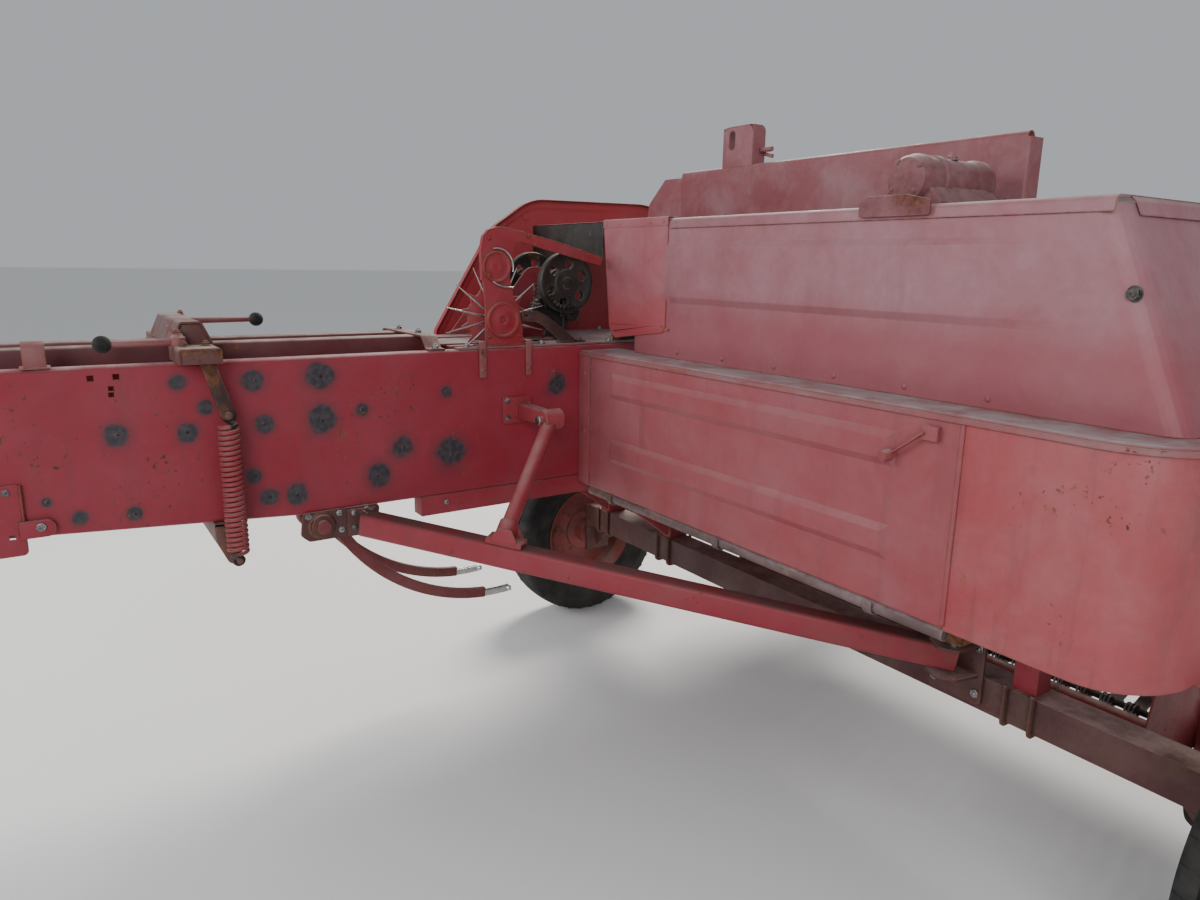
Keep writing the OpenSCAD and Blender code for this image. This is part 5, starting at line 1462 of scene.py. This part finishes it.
def makeNeedles():
    n = needles
    arms, tips = [], []
    for side in (-1, 1):
        x = side * 0.115
        outer = arcPoints(n["r"], n["from"] - 3, n["to"], 26)
        innerArc = arcPoints(n["r"] - n["h"], n["to"], n["from"] - 3, 26)
        bar = loop("needle", [(x - 0.009, a, b) for a, b in outer + innerArc])
        pullAll(0.018, 0, 0)
        outward()
        take(bar)
        arms.append(bevelled(bar, 0.005, 3, 50))
        arms.append(turned("boss", [(-0.02, 0.0205), (-0.02, 0.032), (-0.014, 0.036), (0.014, 0.036), (0.02, 0.032),
                                    (0.02, 0.0205)], (x, *n["shaft"]), "x", 32))
        for dx in (-0.0075, 0.0045):
            shapeOut = arcPoints(n["r"] - 0.003, n["to"] - 2, n["tip"] - 0.6, 6)
            shapeIn = arcPoints(n["r"] - n["h"] + 0.01, n["tip"] - 1.4, n["to"] - 2, 6)
            leaf = loop("leaf", [(x + dx, a, b) for a, b in shapeOut + shapeIn])
            pullAll(0.003, 0, 0)
            outward()
            take(leaf)
            tips.append(bevelled(leaf, 0.001, 2, 50))
        end = arcPoints(n["r"] - 0.014, n["tip"] - 1.6, n["tip"] - 1.6, 1)[0]
        tips.append(turned("roller", [(-0.014, 0.0), (-0.014, 0.005), (-0.011, 0.0085), (-0.004, 0.0085),
                (0.0, 0.0062), (0.004, 0.0085), (0.011, 0.0085), (0.014, 0.005), (0.014, 0.0)], (x, *end), "x", 20))
        arms.append(fasteners("nuts", [(x + 0.0095, *p) for p in arcPoints(n["r"] - n["h"] / 2, n["to"] - 3,
                                                                           n["to"] - 7, 1)], "+x", 0.55, roundModel))
    arms.append(rod("shaft", (-0.274, *n["shaft"]), (0.274, *n["shaft"]), 0.0198, 28))
    arms.append(rod("tie", (-0.115, *arcPoints(n["r"] - 0.017, 214, 214, 1)[0]),
                    (0.115, *arcPoints(n["r"] - 0.017, 214, 214, 1)[0]), 0.011, 18))
    return joined("needleYoke", arms), joined("needleTips", tips)


yoke, needleTips = makeNeedles()
standIn(yoke, "needleRed", "needle_yoke")
dress(needleTips, "chrome", "needle_yoke")
print("needles made")

# rails, floor, deck and rear plates of the chamber

rails = {
    "x": 0.08, "half": 0.03, "low": 1.216, "top": 1.275, "rear": -1.9, "front": -0.46, "sheet": 0.004,
    "bars": (-1.88, -0.52), "barWide": 0.05, "foot": 1.243, "over": 1.279,
}


def makeRails():
    r = rails
    pieces = []
    for side in (-1, 1):
        left, right = side * r["x"] - r["half"], side * r["x"] + r["half"]
        path = [(left, r["low"]), (left, r["top"]), (right, r["top"]), (right, r["low"])]
        pieces.append(strap("rail", "y", path, r["rear"], r["front"], r["sheet"], 0.0008, 0.006))
    places = []
    for y in r["bars"]:
        path = [(-0.226, r["foot"]), (-0.196, r["foot"]), (-0.16, r["over"]), (0.16, r["over"]), (0.196, r["foot"]),
                (0.226, r["foot"])]
        pieces.append(strap("railBar", "y", path, y, y + r["barWide"], 0.006, 0.001, 0.01))
        places += [(x, y + 0.025, 1.246) for x in (-0.212, 0.212)]
        places += [(x, y + 0.025, 1.282) for x in (-r["x"], r["x"])]
    standIn(joined("topRails", pieces), "rail", "top_rails")
    bolts("top_rails", "railBolts", places, "+z")


rearPlate = {
    "x": 0.234, "out": 0.006, "lugOut": 0.014, "y": (-1.9, -1.547), "z": (0.803, 0.975),
    "lug": rectangle(-1.56, -1.487, 0.844, 0.885),
}


def makeRearPlates():
    r = rearPlate
    pieces = []
    for side in (-1, 1):
        face = side * r["x"]
        (y0, y1), (z0, z1) = r["y"], r["z"]
        outline = softened(rectangle(y0, y1, z0, z1), 0.012)
        sheet = plate("rearPlate", "x", outline, *sorted((face, face + side * r["out"])), edge=0.001)
        carve(sheet, block("cutter", (face - 0.02, face + 0.02), (-1.581, -1.569), (0.844, 0.856), 0))
        pieces.append(sheet)
        lug = softened(r["lug"], [0, 0.018, 0.018, 0])
        pieces.append(plate("lug", "x", lug, *sorted((face + side * 0.001, face + side * r["lugOut"])), edge=0.0015))
        pieces.append(weld((face + side * 0.007, -1.549, 0.885), (face + side * 0.007, -1.549, 0.975), 0.003))
        look = outLook[side]
        heads = fasteners("rearPlateBolts", [(face + side * 0.006, -1.578, 0.953), (face + side * 0.006, -1.86, 0.83),
                                             (face + side * 0.006, -1.86, 0.95)], look, 0.9)
        dress(heads, "boltHead", "rear_plates")
        bolts("rear_plates", "lugBolt", [(face + side * 0.014, -1.517, 0.864)], look, 1.15)
    standIn(joined("rearPlates", pieces), "wall", "rear_plates")


makeRails()
makeRearPlates()
softenedNode("chamber_floor", "bareFloor", 0.0015)
softenedNode("chamber_deck", "shelf", 0.001)
deckPlaces = [(side * 0.222, y / 100, 1.246) for side in (-1, 1) for y in (-40, -14, 12, 38, 64, 90, 112)]
bolts("chamber_deck", "deckBolts", deckPlaces, "+z", 0.85)
print("rails, deck and rear plates made")

# bearing plates of the needle yoke, with a greased collar

bearing = {
    "x": 0.234, "thick": 0.01, "axle": (-0.864, 0.766), "collar": 0.034,
    "outline": [(-0.914, 0.806), (-0.922, 0.742), (-0.9, 0.722), (-0.804, 0.722), (-0.706, 0.73), (-0.694, 0.806)],
}


def makeBearings():
    b = bearing
    pieces = []
    y, z = b["axle"]
    for side in (-1, 1):
        face = side * b["x"]
        out = face + side * b["thick"]
        pieces.append(plate("bearingPlate", "x", softened(b["outline"], 0.012), *sorted((face, out)), edge=0.0015))
        profile = [(0, 0.023), (0, b["collar"] + 0.004), (0.004, b["collar"] + 0.004), (0.006, b["collar"]),
                   (0.016, b["collar"] - 0.002), (0.018, 0.026), (0.018, 0.0205), (0, 0.0205)]
        pieces.append(turned("collar", [(side * a, r) for a, r in profile], (out, y, z), "x", 32))
        places = [(out, y + dy, z + dz) for dy, dz in [(-0.036, 0.024), (0.05, 0.024), (0.13, 0.024), (0.13, -0.022),
                                                       (0.055, -0.026)]]
        bolts("yoke_bearings", "bearingBolts", places, outLook[side])
    standIn(joined("yokeBearings", pieces), "axle", "yoke_bearings")


makeBearings()
print("yoke bearings made")

# axle with its diagonal brace and the strut from the chamber wall

brace = {
    "rear": (0.276, -0.754, 0.764), "front": (1.434, 0.373, 0.54), "high": 0.066, "deep": 0.06, "sheet": 0.007,
    "strutTop": (0.414, -0.215, 1.04), "strutFoot": (0.577, -0.461, 0.758), "strutR": 0.022,
}


def makeBrace():
    b = brace
    length = (Vector(b["front"]) - Vector(b["rear"])).length
    up, deep = b["high"] / 2 - 0.0035, b["deep"] / 2 - 0.0035
    path = [(-up, deep), (-up, -deep), (up, -deep), (up, deep)]
    channel = layBetween(strap("channel", "z", path, 0, length, b["sheet"], 0.0012, 0.007), b["rear"], b["front"])
    feet = [plate("rearFoot", "x", softened(rectangle(-0.794, -0.704, 0.722, 0.8), 0.008), 0.244, 0.252)]
    feet.append(block("rearGusset", (0.246, 0.29), (-0.752, -0.744), (0.728, 0.796), 0.0015))
    ends = [plate("endPlate", "y", softened(rectangle(1.352, 1.5, 0.425, 0.585), 0.012), 0.396, 0.4045)]
    for z0 in (0.4975, 0.575):
        ends.append(plate("cheek", "z", softened([(1.37, 0.402), (1.385, 0.325), (1.43, 0.3), (1.475, 0.325),
                                                  (1.49, 0.402)], 0.01), z0, z0 + 0.0075))
    ends.append(weld((1.37, 0.396, 0.5825), (1.49, 0.396, 0.5825)))
    dress(joined("braceEnd", ends), "axle", "axle_brace")
    dress(joined("braceFoot", feet), "axle", "axle_brace")
    standIn(joined("axleBrace", [channel]), "brace", "axle_brace")
    bolts("axle_brace", "braceBolts", [(1.368, 0.396, 0.448), (1.484, 0.396, 0.448), (1.368, 0.396, 0.57),
                                       (1.484, 0.396, 0.57)], "-y", 1.2)
    bolts("axle_brace", "cheekBolts", [(1.43, 0.36, 0.5825), (1.452, 0.335, 0.5825)], "+z", 1.1)
    bolts("axle_brace", "footBolts", [(0.252, -0.774, 0.742), (0.252, -0.724, 0.742), (0.252, -0.774, 0.786),
                                      (0.252, -0.724, 0.786)], "+x", 0.9)


def makeStrut():
    b = brace
    x, y, z = b["strutTop"]
    pieces = [plate("strutPlate", "x", softened(rectangle(-0.288, -0.186, 1.002, 1.086), 0.01), 0.234, 0.242)]
    arm = block("strutArm", (0.241, 0.43), (y - 0.024, y + 0.024), (z - 0.025, z + 0.025), 0)
    edit(arm)
    pickFaces(lambda m, n: n.x > 0.9)
    bpy.ops.transform.resize(value=(1, 0.75, 0.82))
    take(arm)
    pieces.append(bevelled(arm, 0.005, 3))
    collar = [(-0.032, 0.0125), (-0.032, 0.028), (-0.029, 0.031), (0.029, 0.031), (0.032, 0.028), (0.032, 0.0125)]
    pieces.append(turned("strutEye", collar, b["strutTop"], "y", 28))
    pieces.append(rod("strutPin", (x, y - 0.046, z), (x, y + 0.046, z), 0.0125, 20, 0.003))
    pieces.append(rod("strutTube", b["strutTop"], b["strutFoot"], b["strutR"], 28))
    foot = Vector(b["strutFoot"])
    line = (Vector(b["strutTop"]) - foot).normalized()
    pieces.append(rod("strutShoe", tuple(foot - line * 0.006), tuple(foot + line * 0.045), b["strutR"] + 0.006, 28,
                      0.004))
    along = (Vector(b["front"]) - Vector(b["rear"])).length * 0.26  # the strut's place on the brace
    top = -b["high"] / 2
    saddle = block("saddle", (top - 0.016, top - 0.0005), (-0.03, 0.03), (along - 0.052, along + 0.052), 0.003)
    pieces.append(layBetween(saddle, b["rear"], b["front"]))
    earShape = softened([(top - 0.05, along - 0.02), (top - 0.008, along - 0.045), (top - 0.008, along + 0.045),
                         (top - 0.05, along + 0.02)], 0.01)
    for side in (-1, 1):
        ear = plate("saddleEar", "y", earShape, side * 0.028 - 0.003, side * 0.028 + 0.003)
        pieces.append(layBetween(ear, b["rear"], b["front"]))
    pieces += [weld((0.243, y - 0.024, z + 0.024), (0.243, y + 0.024, z + 0.024)),
               weld((0.243, y - 0.026, z - 0.022), (0.243, y - 0.026, z + 0.022))]
    standIn(joined("braceStrut", pieces), "strut", "brace_strut")
    bolts("brace_strut", "strutBolts", [(0.242, -0.272, 1.018), (0.242, -0.272, 1.07), (0.242, -0.2, 1.018)], "+x",
          0.95)
    bolts("brace_strut", "strutPinHead", [(x, y - 0.046, z)], "-y", 1.3, roundModel)


makeBrace()
makeStrut()
clampsAt = (-0.2, 0.2, 1.594)
axleExtras = []
for x in clampsAt:
    for across in (x - 0.034, x + 0.034):
        wrap = softened([(0.397, 0.5), (0.397, 0.4025), (0.503, 0.4025), (0.503, 0.5)], [0, 0.014, 0.014, 0])
        line = [(across, a, b) for a, b in [(0.397, 0.51), *wrap, (0.503, 0.51)]]
        axleExtras.append(tube("axleClamp", line, 0.006, False, 4, 8))
for x, side in ((-0.312, 1), (2.014, -1)):
    axleExtras.append(plate("axleGusset", "y", [(x, 0.41), (x + side * 0.09, 0.41), (x, 0.315)], 0.446, 0.454,
                            edge=0.001))
    axleExtras.append(weld((x, 0.404, 0.41), (x, 0.404, 0.5)))
softenedNode("axle_beam", "axle", 0.004, 3, extras=axleExtras)
softenedNode("pedestals", "strut", 0.0025)
for side, name in ((1, "sillBoltsRight"), (-1, "sillBoltsLeft")):
    places = [(side * 0.231, y / 100, 0.77) for y in (-48, -20, 8, 30, 60, 84, 104)]
    bolts("pedestals", name, places, outLook[side], 0.9)
print("axle, brace and strut made")

# wheels: ribbed rubber with shoulder lugs, rolled rim edges, hub cap and valve

wheel = {"y": 0.45, "z": 0.35, "left": -0.4315, "right": 2.1335, "lugs": 40, "rim": 0.205}


def makeTyre(x, nodeName):
    half = [(0.0595, 0.2056), (0.067, 0.211), (0.0735, 0.222), (0.0768, 0.225), (0.0788, 0.232), (0.0845, 0.256),
            (0.0872, 0.282), (0.0888, 0.285), (0.0888, 0.291), (0.0868, 0.294), (0.0848, 0.309), (0.082, 0.322),
            (0.0775, 0.333), (0.069, 0.3405), (0.058, 0.3455), (0.0415, 0.3485), (0.0362, 0.3488), (0.0345, 0.3405),
            (0.0292, 0.3405), (0.0275, 0.3495), (0.0055, 0.3503), (0.0038, 0.3415)]
    profile = [(-a, r) for a, r in half] + list(reversed(half))
    rubber = turned(nodeName + "Rubber", profile, (x, wheel["y"], wheel["z"]), "x", 96)
    lugs = []
    for side in (-1, 1):
        lug = block("lug", sorted((x + side * 0.058, x + side * 0.079)), (wheel["y"] - 0.0075, wheel["y"] + 0.0075),
                    (wheel["z"] + 0.33, wheel["z"] + 0.3475), 0)
        edit(lug)
        pickEdges(lambda m, d, n: abs(d.y) > 0.9 and m.z > wheel["z"] + 0.34 and (m.x - x) * side > 0.07)
        slide(-side * 0.004, 0, -0.008)
        take(lug)
        bevelled(lug, 0.0015, 1)
        lugs.append(around(lug, (x, wheel["y"], wheel["z"]), "x", wheel["lugs"]))
    dress(joined(nodeName + "Tyre", [rubber, *lugs]), "tyre", nodeName, (nodeName,), 28)


def makeRim(x, side, nodeName):
    y, z = wheel["y"], wheel["z"]
    centre = (x, y, z)
    extras = []
    for edge in (-1, 1):
        ring = circle(edge * 0.0645, wheel["rim"] - 0.001, 0.0038, ringAngles(8, 1))
        extras.append(turned("rimRoll", ring, centre, "x", 72))
    cap = [(0.044, 0.0405), (0.05, 0.0405), (0.056, 0.0365), (0.072, 0.034), (0.078, 0.028), (0.08, 0.0)]
    extras.append(turned("hubCap", [(side * a, r) for a, r in cap], centre, "x", 32))
    extras.append(rod("valve", (x + side * 0.02, y, z + 0.176), (x + side * 0.05, y, z + 0.165), 0.004, 10))
    softenedNode(nodeName, "rimRed", 0.0015, 2, 30, extras=extras)
    nuts = [(x + side * 0.018, y + 0.066 * math.sin(a), z + 0.066 * math.cos(a)) for a in ringAngles(5)]
    bolts(nodeName, "wheelNuts", nuts, outLook[side], 1.2)


for side, name in ((-1, "left"), (1, "right")):
    makeTyre(wheel[name], "tyre_" + name)
for side, name in ((-1, "left"), (1, "right")):
    makeRim(wheel[name], side, "rim_" + name)
print("wheels made")

# feeder house: floor, auger and the pipe under the rear panel

softenedNode("house_floor", "rust", 0.001, 1)
softenedNode("feed_auger", "grey", 0.001, 1, 50)
pipe = {"y": 0.014, "z": 0.761, "x": (0.294, 1.624), "holders": (0.42, 0.93, 1.44)}
pipeExtras = []
for x in pipe["holders"]:
    grip = arc(pipe["y"], pipe["z"], 0.0185, range(-180, 1, 20))
    pipeExtras.append(strap("pipeGrip", "x", [(-0.0045, 0.776), *grip, (0.0325, 0.776)], x - 0.012, x + 0.012, 0.003,
                            0.0005))
pipeEnd = [(0, 0.0085), (0, 0.0145), (-0.012, 0.0145), (-0.014, 0.0135)]
pipeExtras.append(turned("pipeEnd", pipeEnd, (pipe["x"][1] + 0.001, pipe["y"], pipe["z"]), "x", 24))
softenedNode("house_pipe", "pipe", 0.001, 2, 38, extras=pipeExtras)
print("floor, auger and pipe made")

# pickup: frame, bands, reel with sprung tines and its small wheel

pickup = {
    "x": (0.384, 1.784), "reel": (0.96, 0.47), "barR": 0.15, "bars": 5, "discR": 0.162, "holeR": 0.034,
    "ringR": 0.09, "bandR": 0.1762, "bands": 22, "reach": 0.125, "wire": 0.0032, "coilR": 0.0135, "coilTurns": 3,
    "lean": -12,
}


def makeTine():
    p = pickup
    points = []
    steps = 10
    for k in range(p["coilTurns"] * steps + 1):
        a = math.tau * k / steps
        points.append((-0.015 + 0.03 * k / (p["coilTurns"] * steps), p["coilR"] * math.sin(a),
                       p["coilR"] * math.cos(a)))
    lean = math.radians(p["lean"])
    for part in (0.35, 0.7, 1.0):
        points.append((0.015, -math.sin(lean) * p["reach"] * part - 0.004 * part * part + 0.002,
                       math.cos(lean) * p["reach"] * part))
    points[-3] = (0.015, points[-3][1] + 0.004, points[-3][2])
    return tube("tine", points, p["wire"], False, 4, 8)


def makeReel():
    p = pickup
    y, z = p["reel"]
    x0, x1 = p["x"]
    pitch = (x1 - x0) / p["bands"]
    tine = makeTine()
    tines = []
    for bar in range(p["bars"]):
        turn = Matrix.Rotation(math.tau * bar / p["bars"], 4, "X")
        out = Matrix.Translation(Vector((0, 0, p["barR"])))
        for k in range(1, p["bands"]):
            place = Matrix.Translation(Vector((x0 + k * pitch, y, z)) + shift)
            tines.append(another(tine, place @ turn @ out @ Matrix.Translation(-shift), "tine"))
    bpy.data.objects.remove(tine)
    reel = [rod("reelShaft", (x0 - 0.022, y, z), (x1 + 0.022, y, z), 0.02, 32, 0.002)]
    for bar in range(p["bars"]):
        a = math.tau * bar / p["bars"]
        by, bz = y - p["barR"] * math.sin(a), z + p["barR"] * math.cos(a)
        reel.append(rod("tineBar", (x0 + 0.006, by, bz), (x1 - 0.006, by, bz), 0.009, 14, 0.001))
    for x in (x0 + 0.008, (x0 + x1) / 2 - 0.003, x1 - 0.014):
        gaps = [360 / p["bars"] / 2 + 360 * bar / p["bars"] + 90 for bar in range(p["bars"])]
        holes = [(*spot, p["holeR"]) for spot in arc(y, z, p["ringR"], gaps)]
        reel.append(plate("reelDisc", "x", circle(y, z, p["discR"], ringAngles(60)), x, x + 0.006, holes, 0.0012, 1))
        reel.append(turned("reelHub", [(-0.012, 0.021), (-0.012, 0.036), (-0.009, 0.038), (0.009, 0.038),
                                       (0.012, 0.036), (0.012, 0.021)], (x + 0.003, y, z), "x", 28))
    dress(joined("reelTines", tines), "grey", "pickup_reel", (), 50)
    standIn(joined("pickupReel", reel), "dark", "pickup_reel")


makeReel()
(x0, x1), (reelY, reelZ) = pickup["x"], pickup["reel"]
frameExtras = []
for x, side in ((x0 - 0.005, -1), (x1 + 0.005, 1)):
    boss = [(0, 0.0212), (0, 0.05), (0.004, 0.052), (0.008, 0.05), (0.012, 0.036), (0.02, 0.034), (0.022, 0.031),
            (0.022, 0.0212)]
    frameExtras.append(turned("reelBoss", [(side * a, r) for a, r in boss], (x, *pickup["reel"]), "x", 36))
softenedNode("pickup_frame", "red", 0.0015, 2, 38, extras=frameExtras)
for x, look in ((x0 - 0.013, "-x"), (x1 + 0.013, "+x")):
    bolts("pickup_frame", "bossBolts", boltRing("x", x, reelY, reelZ, 0.043, (0.6, 2.17, 3.74, 5.31)), look, 0.8)
softenedNode("stripper_bands", "bands", 0.0008, 1, 50, 30)
pitch = (x1 - x0) / pickup["bands"]
bandScrews = [(x0 + (k + 0.5) * pitch, reelY, reelZ + pickup["bandR"]) for k in range(pickup["bands"])]
bolts("stripper_bands", "bandHeads", bandScrews, "+z", 0.65, roundModel)
gaugeHub = [(-0.033, 0.013), (-0.033, 0.026), (-0.029, 0.029), (0.029, 0.029), (0.033, 0.026), (0.033, 0.013)]
gaugeExtras = [turned("gaugeHub", gaugeHub, (1.846, 0.96, 0.205), "x", 28)]
softenedNode("gauge_wheel", "tyre", 0.002, 2, 30, extras=gaugeExtras)
bolts("gauge_wheel", "gaugeNut", [(1.879, 0.96, 0.205)], "+x", 1.3)
print("pickup made")

# gearbox, flywheel and plunger at the front of the chamber

frontGear = {"z": 0.985, "ringR": 0.078, "ribs": (-0.1, 0.0, 0.1)}
gearExtras = []
for x in frontGear["ribs"]:
    rib = softened([(0.9, 1.134), (0.93, 1.158), (1.1, 1.158), (1.13, 1.134)], 0.008)
    gearExtras.append(plate("rib", "x", rib, x - 0.006, x + 0.006))
for side in (-1, 1):
    for z in (0.885, 1.085):
        gearExtras.append(block("foot", sorted((side * 0.148, side * 0.19)), (0.9, 1.12), (z - 0.012, z + 0.012),
                                0.004))
gearExtras.append(rod("filler", (0.06, 0.95, 1.134), (0.06, 0.95, 1.165), 0.018, 8, 0.003))
collar = [(0, 0.047), (0, 0.092), (0.006, 0.095), (0.016, 0.095), (0.02, 0.09), (0.024, 0.066), (0.0245, 0.047)]
gearExtras.append(turned("sealCover", collar, (0, 1.152, frontGear["z"]), "y", 48))
softenedNode("main_gearbox", "iron", 0.006, 3, 38, extras=gearExtras)
ring = boltRing("y", 1.174, 0, frontGear["z"], frontGear["ringR"], ringAngles(8))
bolts("main_gearbox", "coverBolts", ring, "+y", 0.8)

fly = {"rear": 1.2, "front": 1.275, "middle": 1.2375, "lipR": 0.2965}
flyExtras = []
hubRing = [(0, 0.0465), (0, 0.078), (0.004, 0.081), (0.016, 0.081), (0.02, 0.077), (0.022, 0.0465)]
flyExtras.append(turned("shearFlange", hubRing, (0, fly["front"] - 0.006, frontGear["z"]), "y", 40))
for edge in (fly["rear"], fly["front"]):
    lip = [(edge - fly["middle"] + 0.003 * math.cos(a), fly["lipR"] + 0.004 * math.sin(a)) for a in ringAngles(8, 1)]
    flyExtras.append(turned("rimLip", lip, (0, fly["middle"], frontGear["z"]), "y", 72))
softenedNode("flywheel", "red", 0.003, 3, 34, extras=flyExtras)
studs = boltRing("y", fly["front"] + 0.016, 0, frontGear["z"], 0.064, ringAngles(6))
bolts("flywheel", "flangeBolts", studs, "+y", 0.9)

plungerExtras = []
for z in (0.86, 0.95, 1.04, 1.13):
    plungerExtras.append(block("faceRib", (-0.215, 0.215), (0.644, 0.652), (z - 0.012, z + 0.012), 0.003))
for side in (-1, 1):
    plungerExtras.append(block("guide", sorted((side * 0.216, side * 0.2275)), (0.66, 0.81), (0.83, 0.87), 0.003))
    plungerExtras.append(block("rodEar", sorted((side * 0.06, side * 0.075)), (0.815, 0.86), (0.94, 1.02), 0.004))
softenedNode("plunger", "rust", 0.002, 2, 38, extras=plungerExtras)
print("gearbox, flywheel and plunger made")

# drawbar, jack and drive shaft

softenedNode("drawbar_bracket", "maroon", 0.0025, 2)
bolts("drawbar_bracket", "pivotNut", [(0, 1.05, 0.681)], "+z", 1.9)
bolts("drawbar_bracket", "bracketBolts", [(x, 0.945, 0.7395) for x in (-0.19, -0.13, 0.13, 0.19)], "-z", 1.0)

drawbar = {
    "rear": (0, 1.07, 0.594), "front": (0, 2.43, 0.43), "half": 0.045, "pivot": (0, 1.05, 0.594), "pivotR": 0.052,
    "boreR": 0.0204, "eye": (0, 2.56, 0.43), "eyeR": 0.048, "holeR": 0.014, "rest": (2.19, 2.21, 0.735),
}


def makeDrawbar():
    d = drawbar
    rear, front = Vector(d["rear"]), Vector(d["front"])
    half, y, z = d["half"], d["eye"][1], d["eye"][2]
    beam = block("beam", (-half, half), (-half, half), (0.012, (front - rear).length), 0.004)
    parts = [layBetween(beam, rear, front)]
    boss = [(-0.0565, d["boreR"]), (-0.0565, 0.05), (-0.0545, d["pivotR"]), (0.0545, d["pivotR"]), (0.0565, 0.05),
            (0.0565, d["boreR"]), (-0.0565, d["boreR"])]
    parts.append(turned("pivotBoss", boss, d["pivot"], "z", 44))
    tongue = [(-0.04, 2.41), (0.04, 2.41), (0.04, y - 0.024)]
    tongue += arc(0, y, d["eyeR"], range(-24, 205, 12))
    tongue.append((-0.04, y - 0.024))
    parts.append(plate("tongue", "z", tongue, z - 0.014, z + 0.014, [(0, y, d["holeR"])], 0.002))
    ring = [(-0.0142, 0.017), (-0.017, 0.022), (-0.0172, 0.04), (-0.0142, 0.0475), (0.0142, 0.0475), (0.0172, 0.04),
            (0.017, 0.022), (0.0142, 0.017), (-0.0142, 0.017)]
    parts.append(turned("eyeRing", ring, d["eye"], "z", 40))
    low, high, top = d["rest"]
    parts.append(block("restPost", (-half, half), (low, high), (0.47, top), 0.002))
    parts.append(block("restTop", (-0.035, 0.035), (low - 0.005, high + 0.005), (top, top + 0.006), 0.0015))
    for side in (-1, 1):
        parts.append(weld((side * 0.04, 2.405, 0.4455), (side * 0.04, 2.43, 0.4455)))
        parts.append(weld((side * 0.045, low, 0.5), (side * 0.045, high, 0.498)))
        cheek = [(2.26, 0.44), (2.4, 0.415), (2.47, 0.414), (2.47, 0.446), (2.4, 0.478), (2.26, 0.5)]
        parts.append(plate("noseCheek", "x", softened(cheek, 0.006), *sorted((side * 0.0445, side * 0.0515)),
                           edge=0.001))
        parts.append(plate("pivotCheek", "x", softened([(1.09, 0.55), (1.27, 0.53), (1.27, 0.61), (1.09, 0.632)],
                                                       0.012), *sorted((side * 0.0445, side * 0.0515)), edge=0.001))
    for y in (low - 0.0005, high + 0.0005):
        parts.append(weld((-0.043, y, 0.502), (0.043, y, 0.502)))
    standIn(joined("drawbarBeam", parts), "maroon", "drawbar")


makeDrawbar()
for side, look in ((-1, "-x"), (1, "+x")):
    places = [(side * 0.0515, y, z) for y, z in [(1.12, 0.595), (1.23, 0.575), (2.3, 0.47), (2.42, 0.445)]]
    bolts("drawbar", "barBolts", places, look, 1.2)

jack = {"x": 0.09, "y": 2.0, "top": 0.64, "low": 0.25}
capShape = [(0, 0.0), (0, 0.034), (-0.004, 0.0362), (-0.03, 0.0362), (-0.033, 0.0342)]
jackExtras = [turned("jackCap", list(reversed(capShape)), (jack["x"], jack["y"], jack["top"] + 0.001), "z", 32)]
foot = [(-0.022, 0.0342), (-0.022, 0.0372), (0.0, 0.0372), (0.002, 0.0342)]
jackExtras.append(turned("jackRing", foot, (jack["x"], jack["y"], jack["low"] + 0.024), "z", 32))
for z in (0.455, 0.545):
    jackExtras.append(weld((0.046, 1.96, z), (0.046, 2.04, z)))
jackExtras.append(rod("jackGrip", (0.194, 2.0, 0.648), (0.194, 2.0, 0.702), 0.013, 16, 0.004))
softenedNode("jack_tube", "maroon", 0.0015, 2, 38, extras=jackExtras)
softenedNode("jack_leg", "grey", 0.002, 2, 38)

shaft = {"rear": (0, 1.353, 0.973), "front": (0, 2.3186, 0.7644)}


def makeShaft():
    s = shaft
    length = (Vector(s["front"]) - Vector(s["rear"])).length
    profile = [(0.0, 0.024), (0.0, 0.06), (0.004, 0.064), (0.03, 0.061), (0.034, 0.058), (0.05, 0.057),
               (0.054, 0.053), (0.07, 0.052), (0.074, 0.047), (0.09, 0.045), (0.094, 0.04), (length * 0.52, 0.04),
               (length * 0.52, 0.0445), (length * 0.54, 0.046), (length * 0.56, 0.0445), (length - 0.1, 0.0445),
               (length - 0.095, 0.048), (length - 0.08, 0.049), (length - 0.075, 0.054), (length - 0.055, 0.055),
               (length - 0.05, 0.059), (length - 0.02, 0.061), (length - 0.016, 0.064), (length - 0.012, 0.062),
               (length - 0.012, 0.024)]
    guard = layBetween(turned("guardTube", profile, (0, 0, 0), "z", 44), s["rear"], s["front"])
    standIn(guard, "guard", "pto_shaft")
    joint = []
    for axis, z0 in (("y", -0.014), ("x", 0.022)):
        for side in (-1, 1):
            ear = [(z0 - 0.02, 0.012), (z0 - 0.02, 0.03), (z0 + 0.02, 0.034), (z0 + 0.032, 0.024),
                   (z0 + 0.032, 0.012)]
            joint.append(plate("yokeArm", axis, [(side * r, z) for z, r in ear], -0.016, 0.016, edge=0.002))
    joint.append(rod("cross", (-0.034, 0, 0.012), (0.034, 0, 0.012), 0.0095, 16))
    joint.append(rod("cross", (0, -0.034, 0.012), (0, 0.034, 0.012), 0.0095, 16))
    rear = joined("rearJoint", joint)
    front = another(rear, Matrix.Translation((0, 0, length - 0.012)), "frontJoint")
    sleeve = [(0.0, 0.0175), (0.0, 0.026), (0.03, 0.026), (0.034, 0.031), (0.05, 0.031), (0.054, 0.034),
              (0.074, 0.034), (0.078, 0.03), (0.086, 0.03), (0.089, 0.026), (0.089, 0.0175), (0.0, 0.0175)]
    end = turned("shaftEnd", [(length - 0.002 + a, r) for a, r in sleeve], (0, 0, 0), "z", 32)
    for piece in (rear, front, end):
        layBetween(piece, s["rear"], s["front"])
    dress(joined("shaftJoints", [rear, front, end]), "dark", "pto_shaft")


makeShaft()
print("drawbar, jack and drive shaft made")

for model in (boltModel, roundModel):
    bpy.data.objects.remove(model)
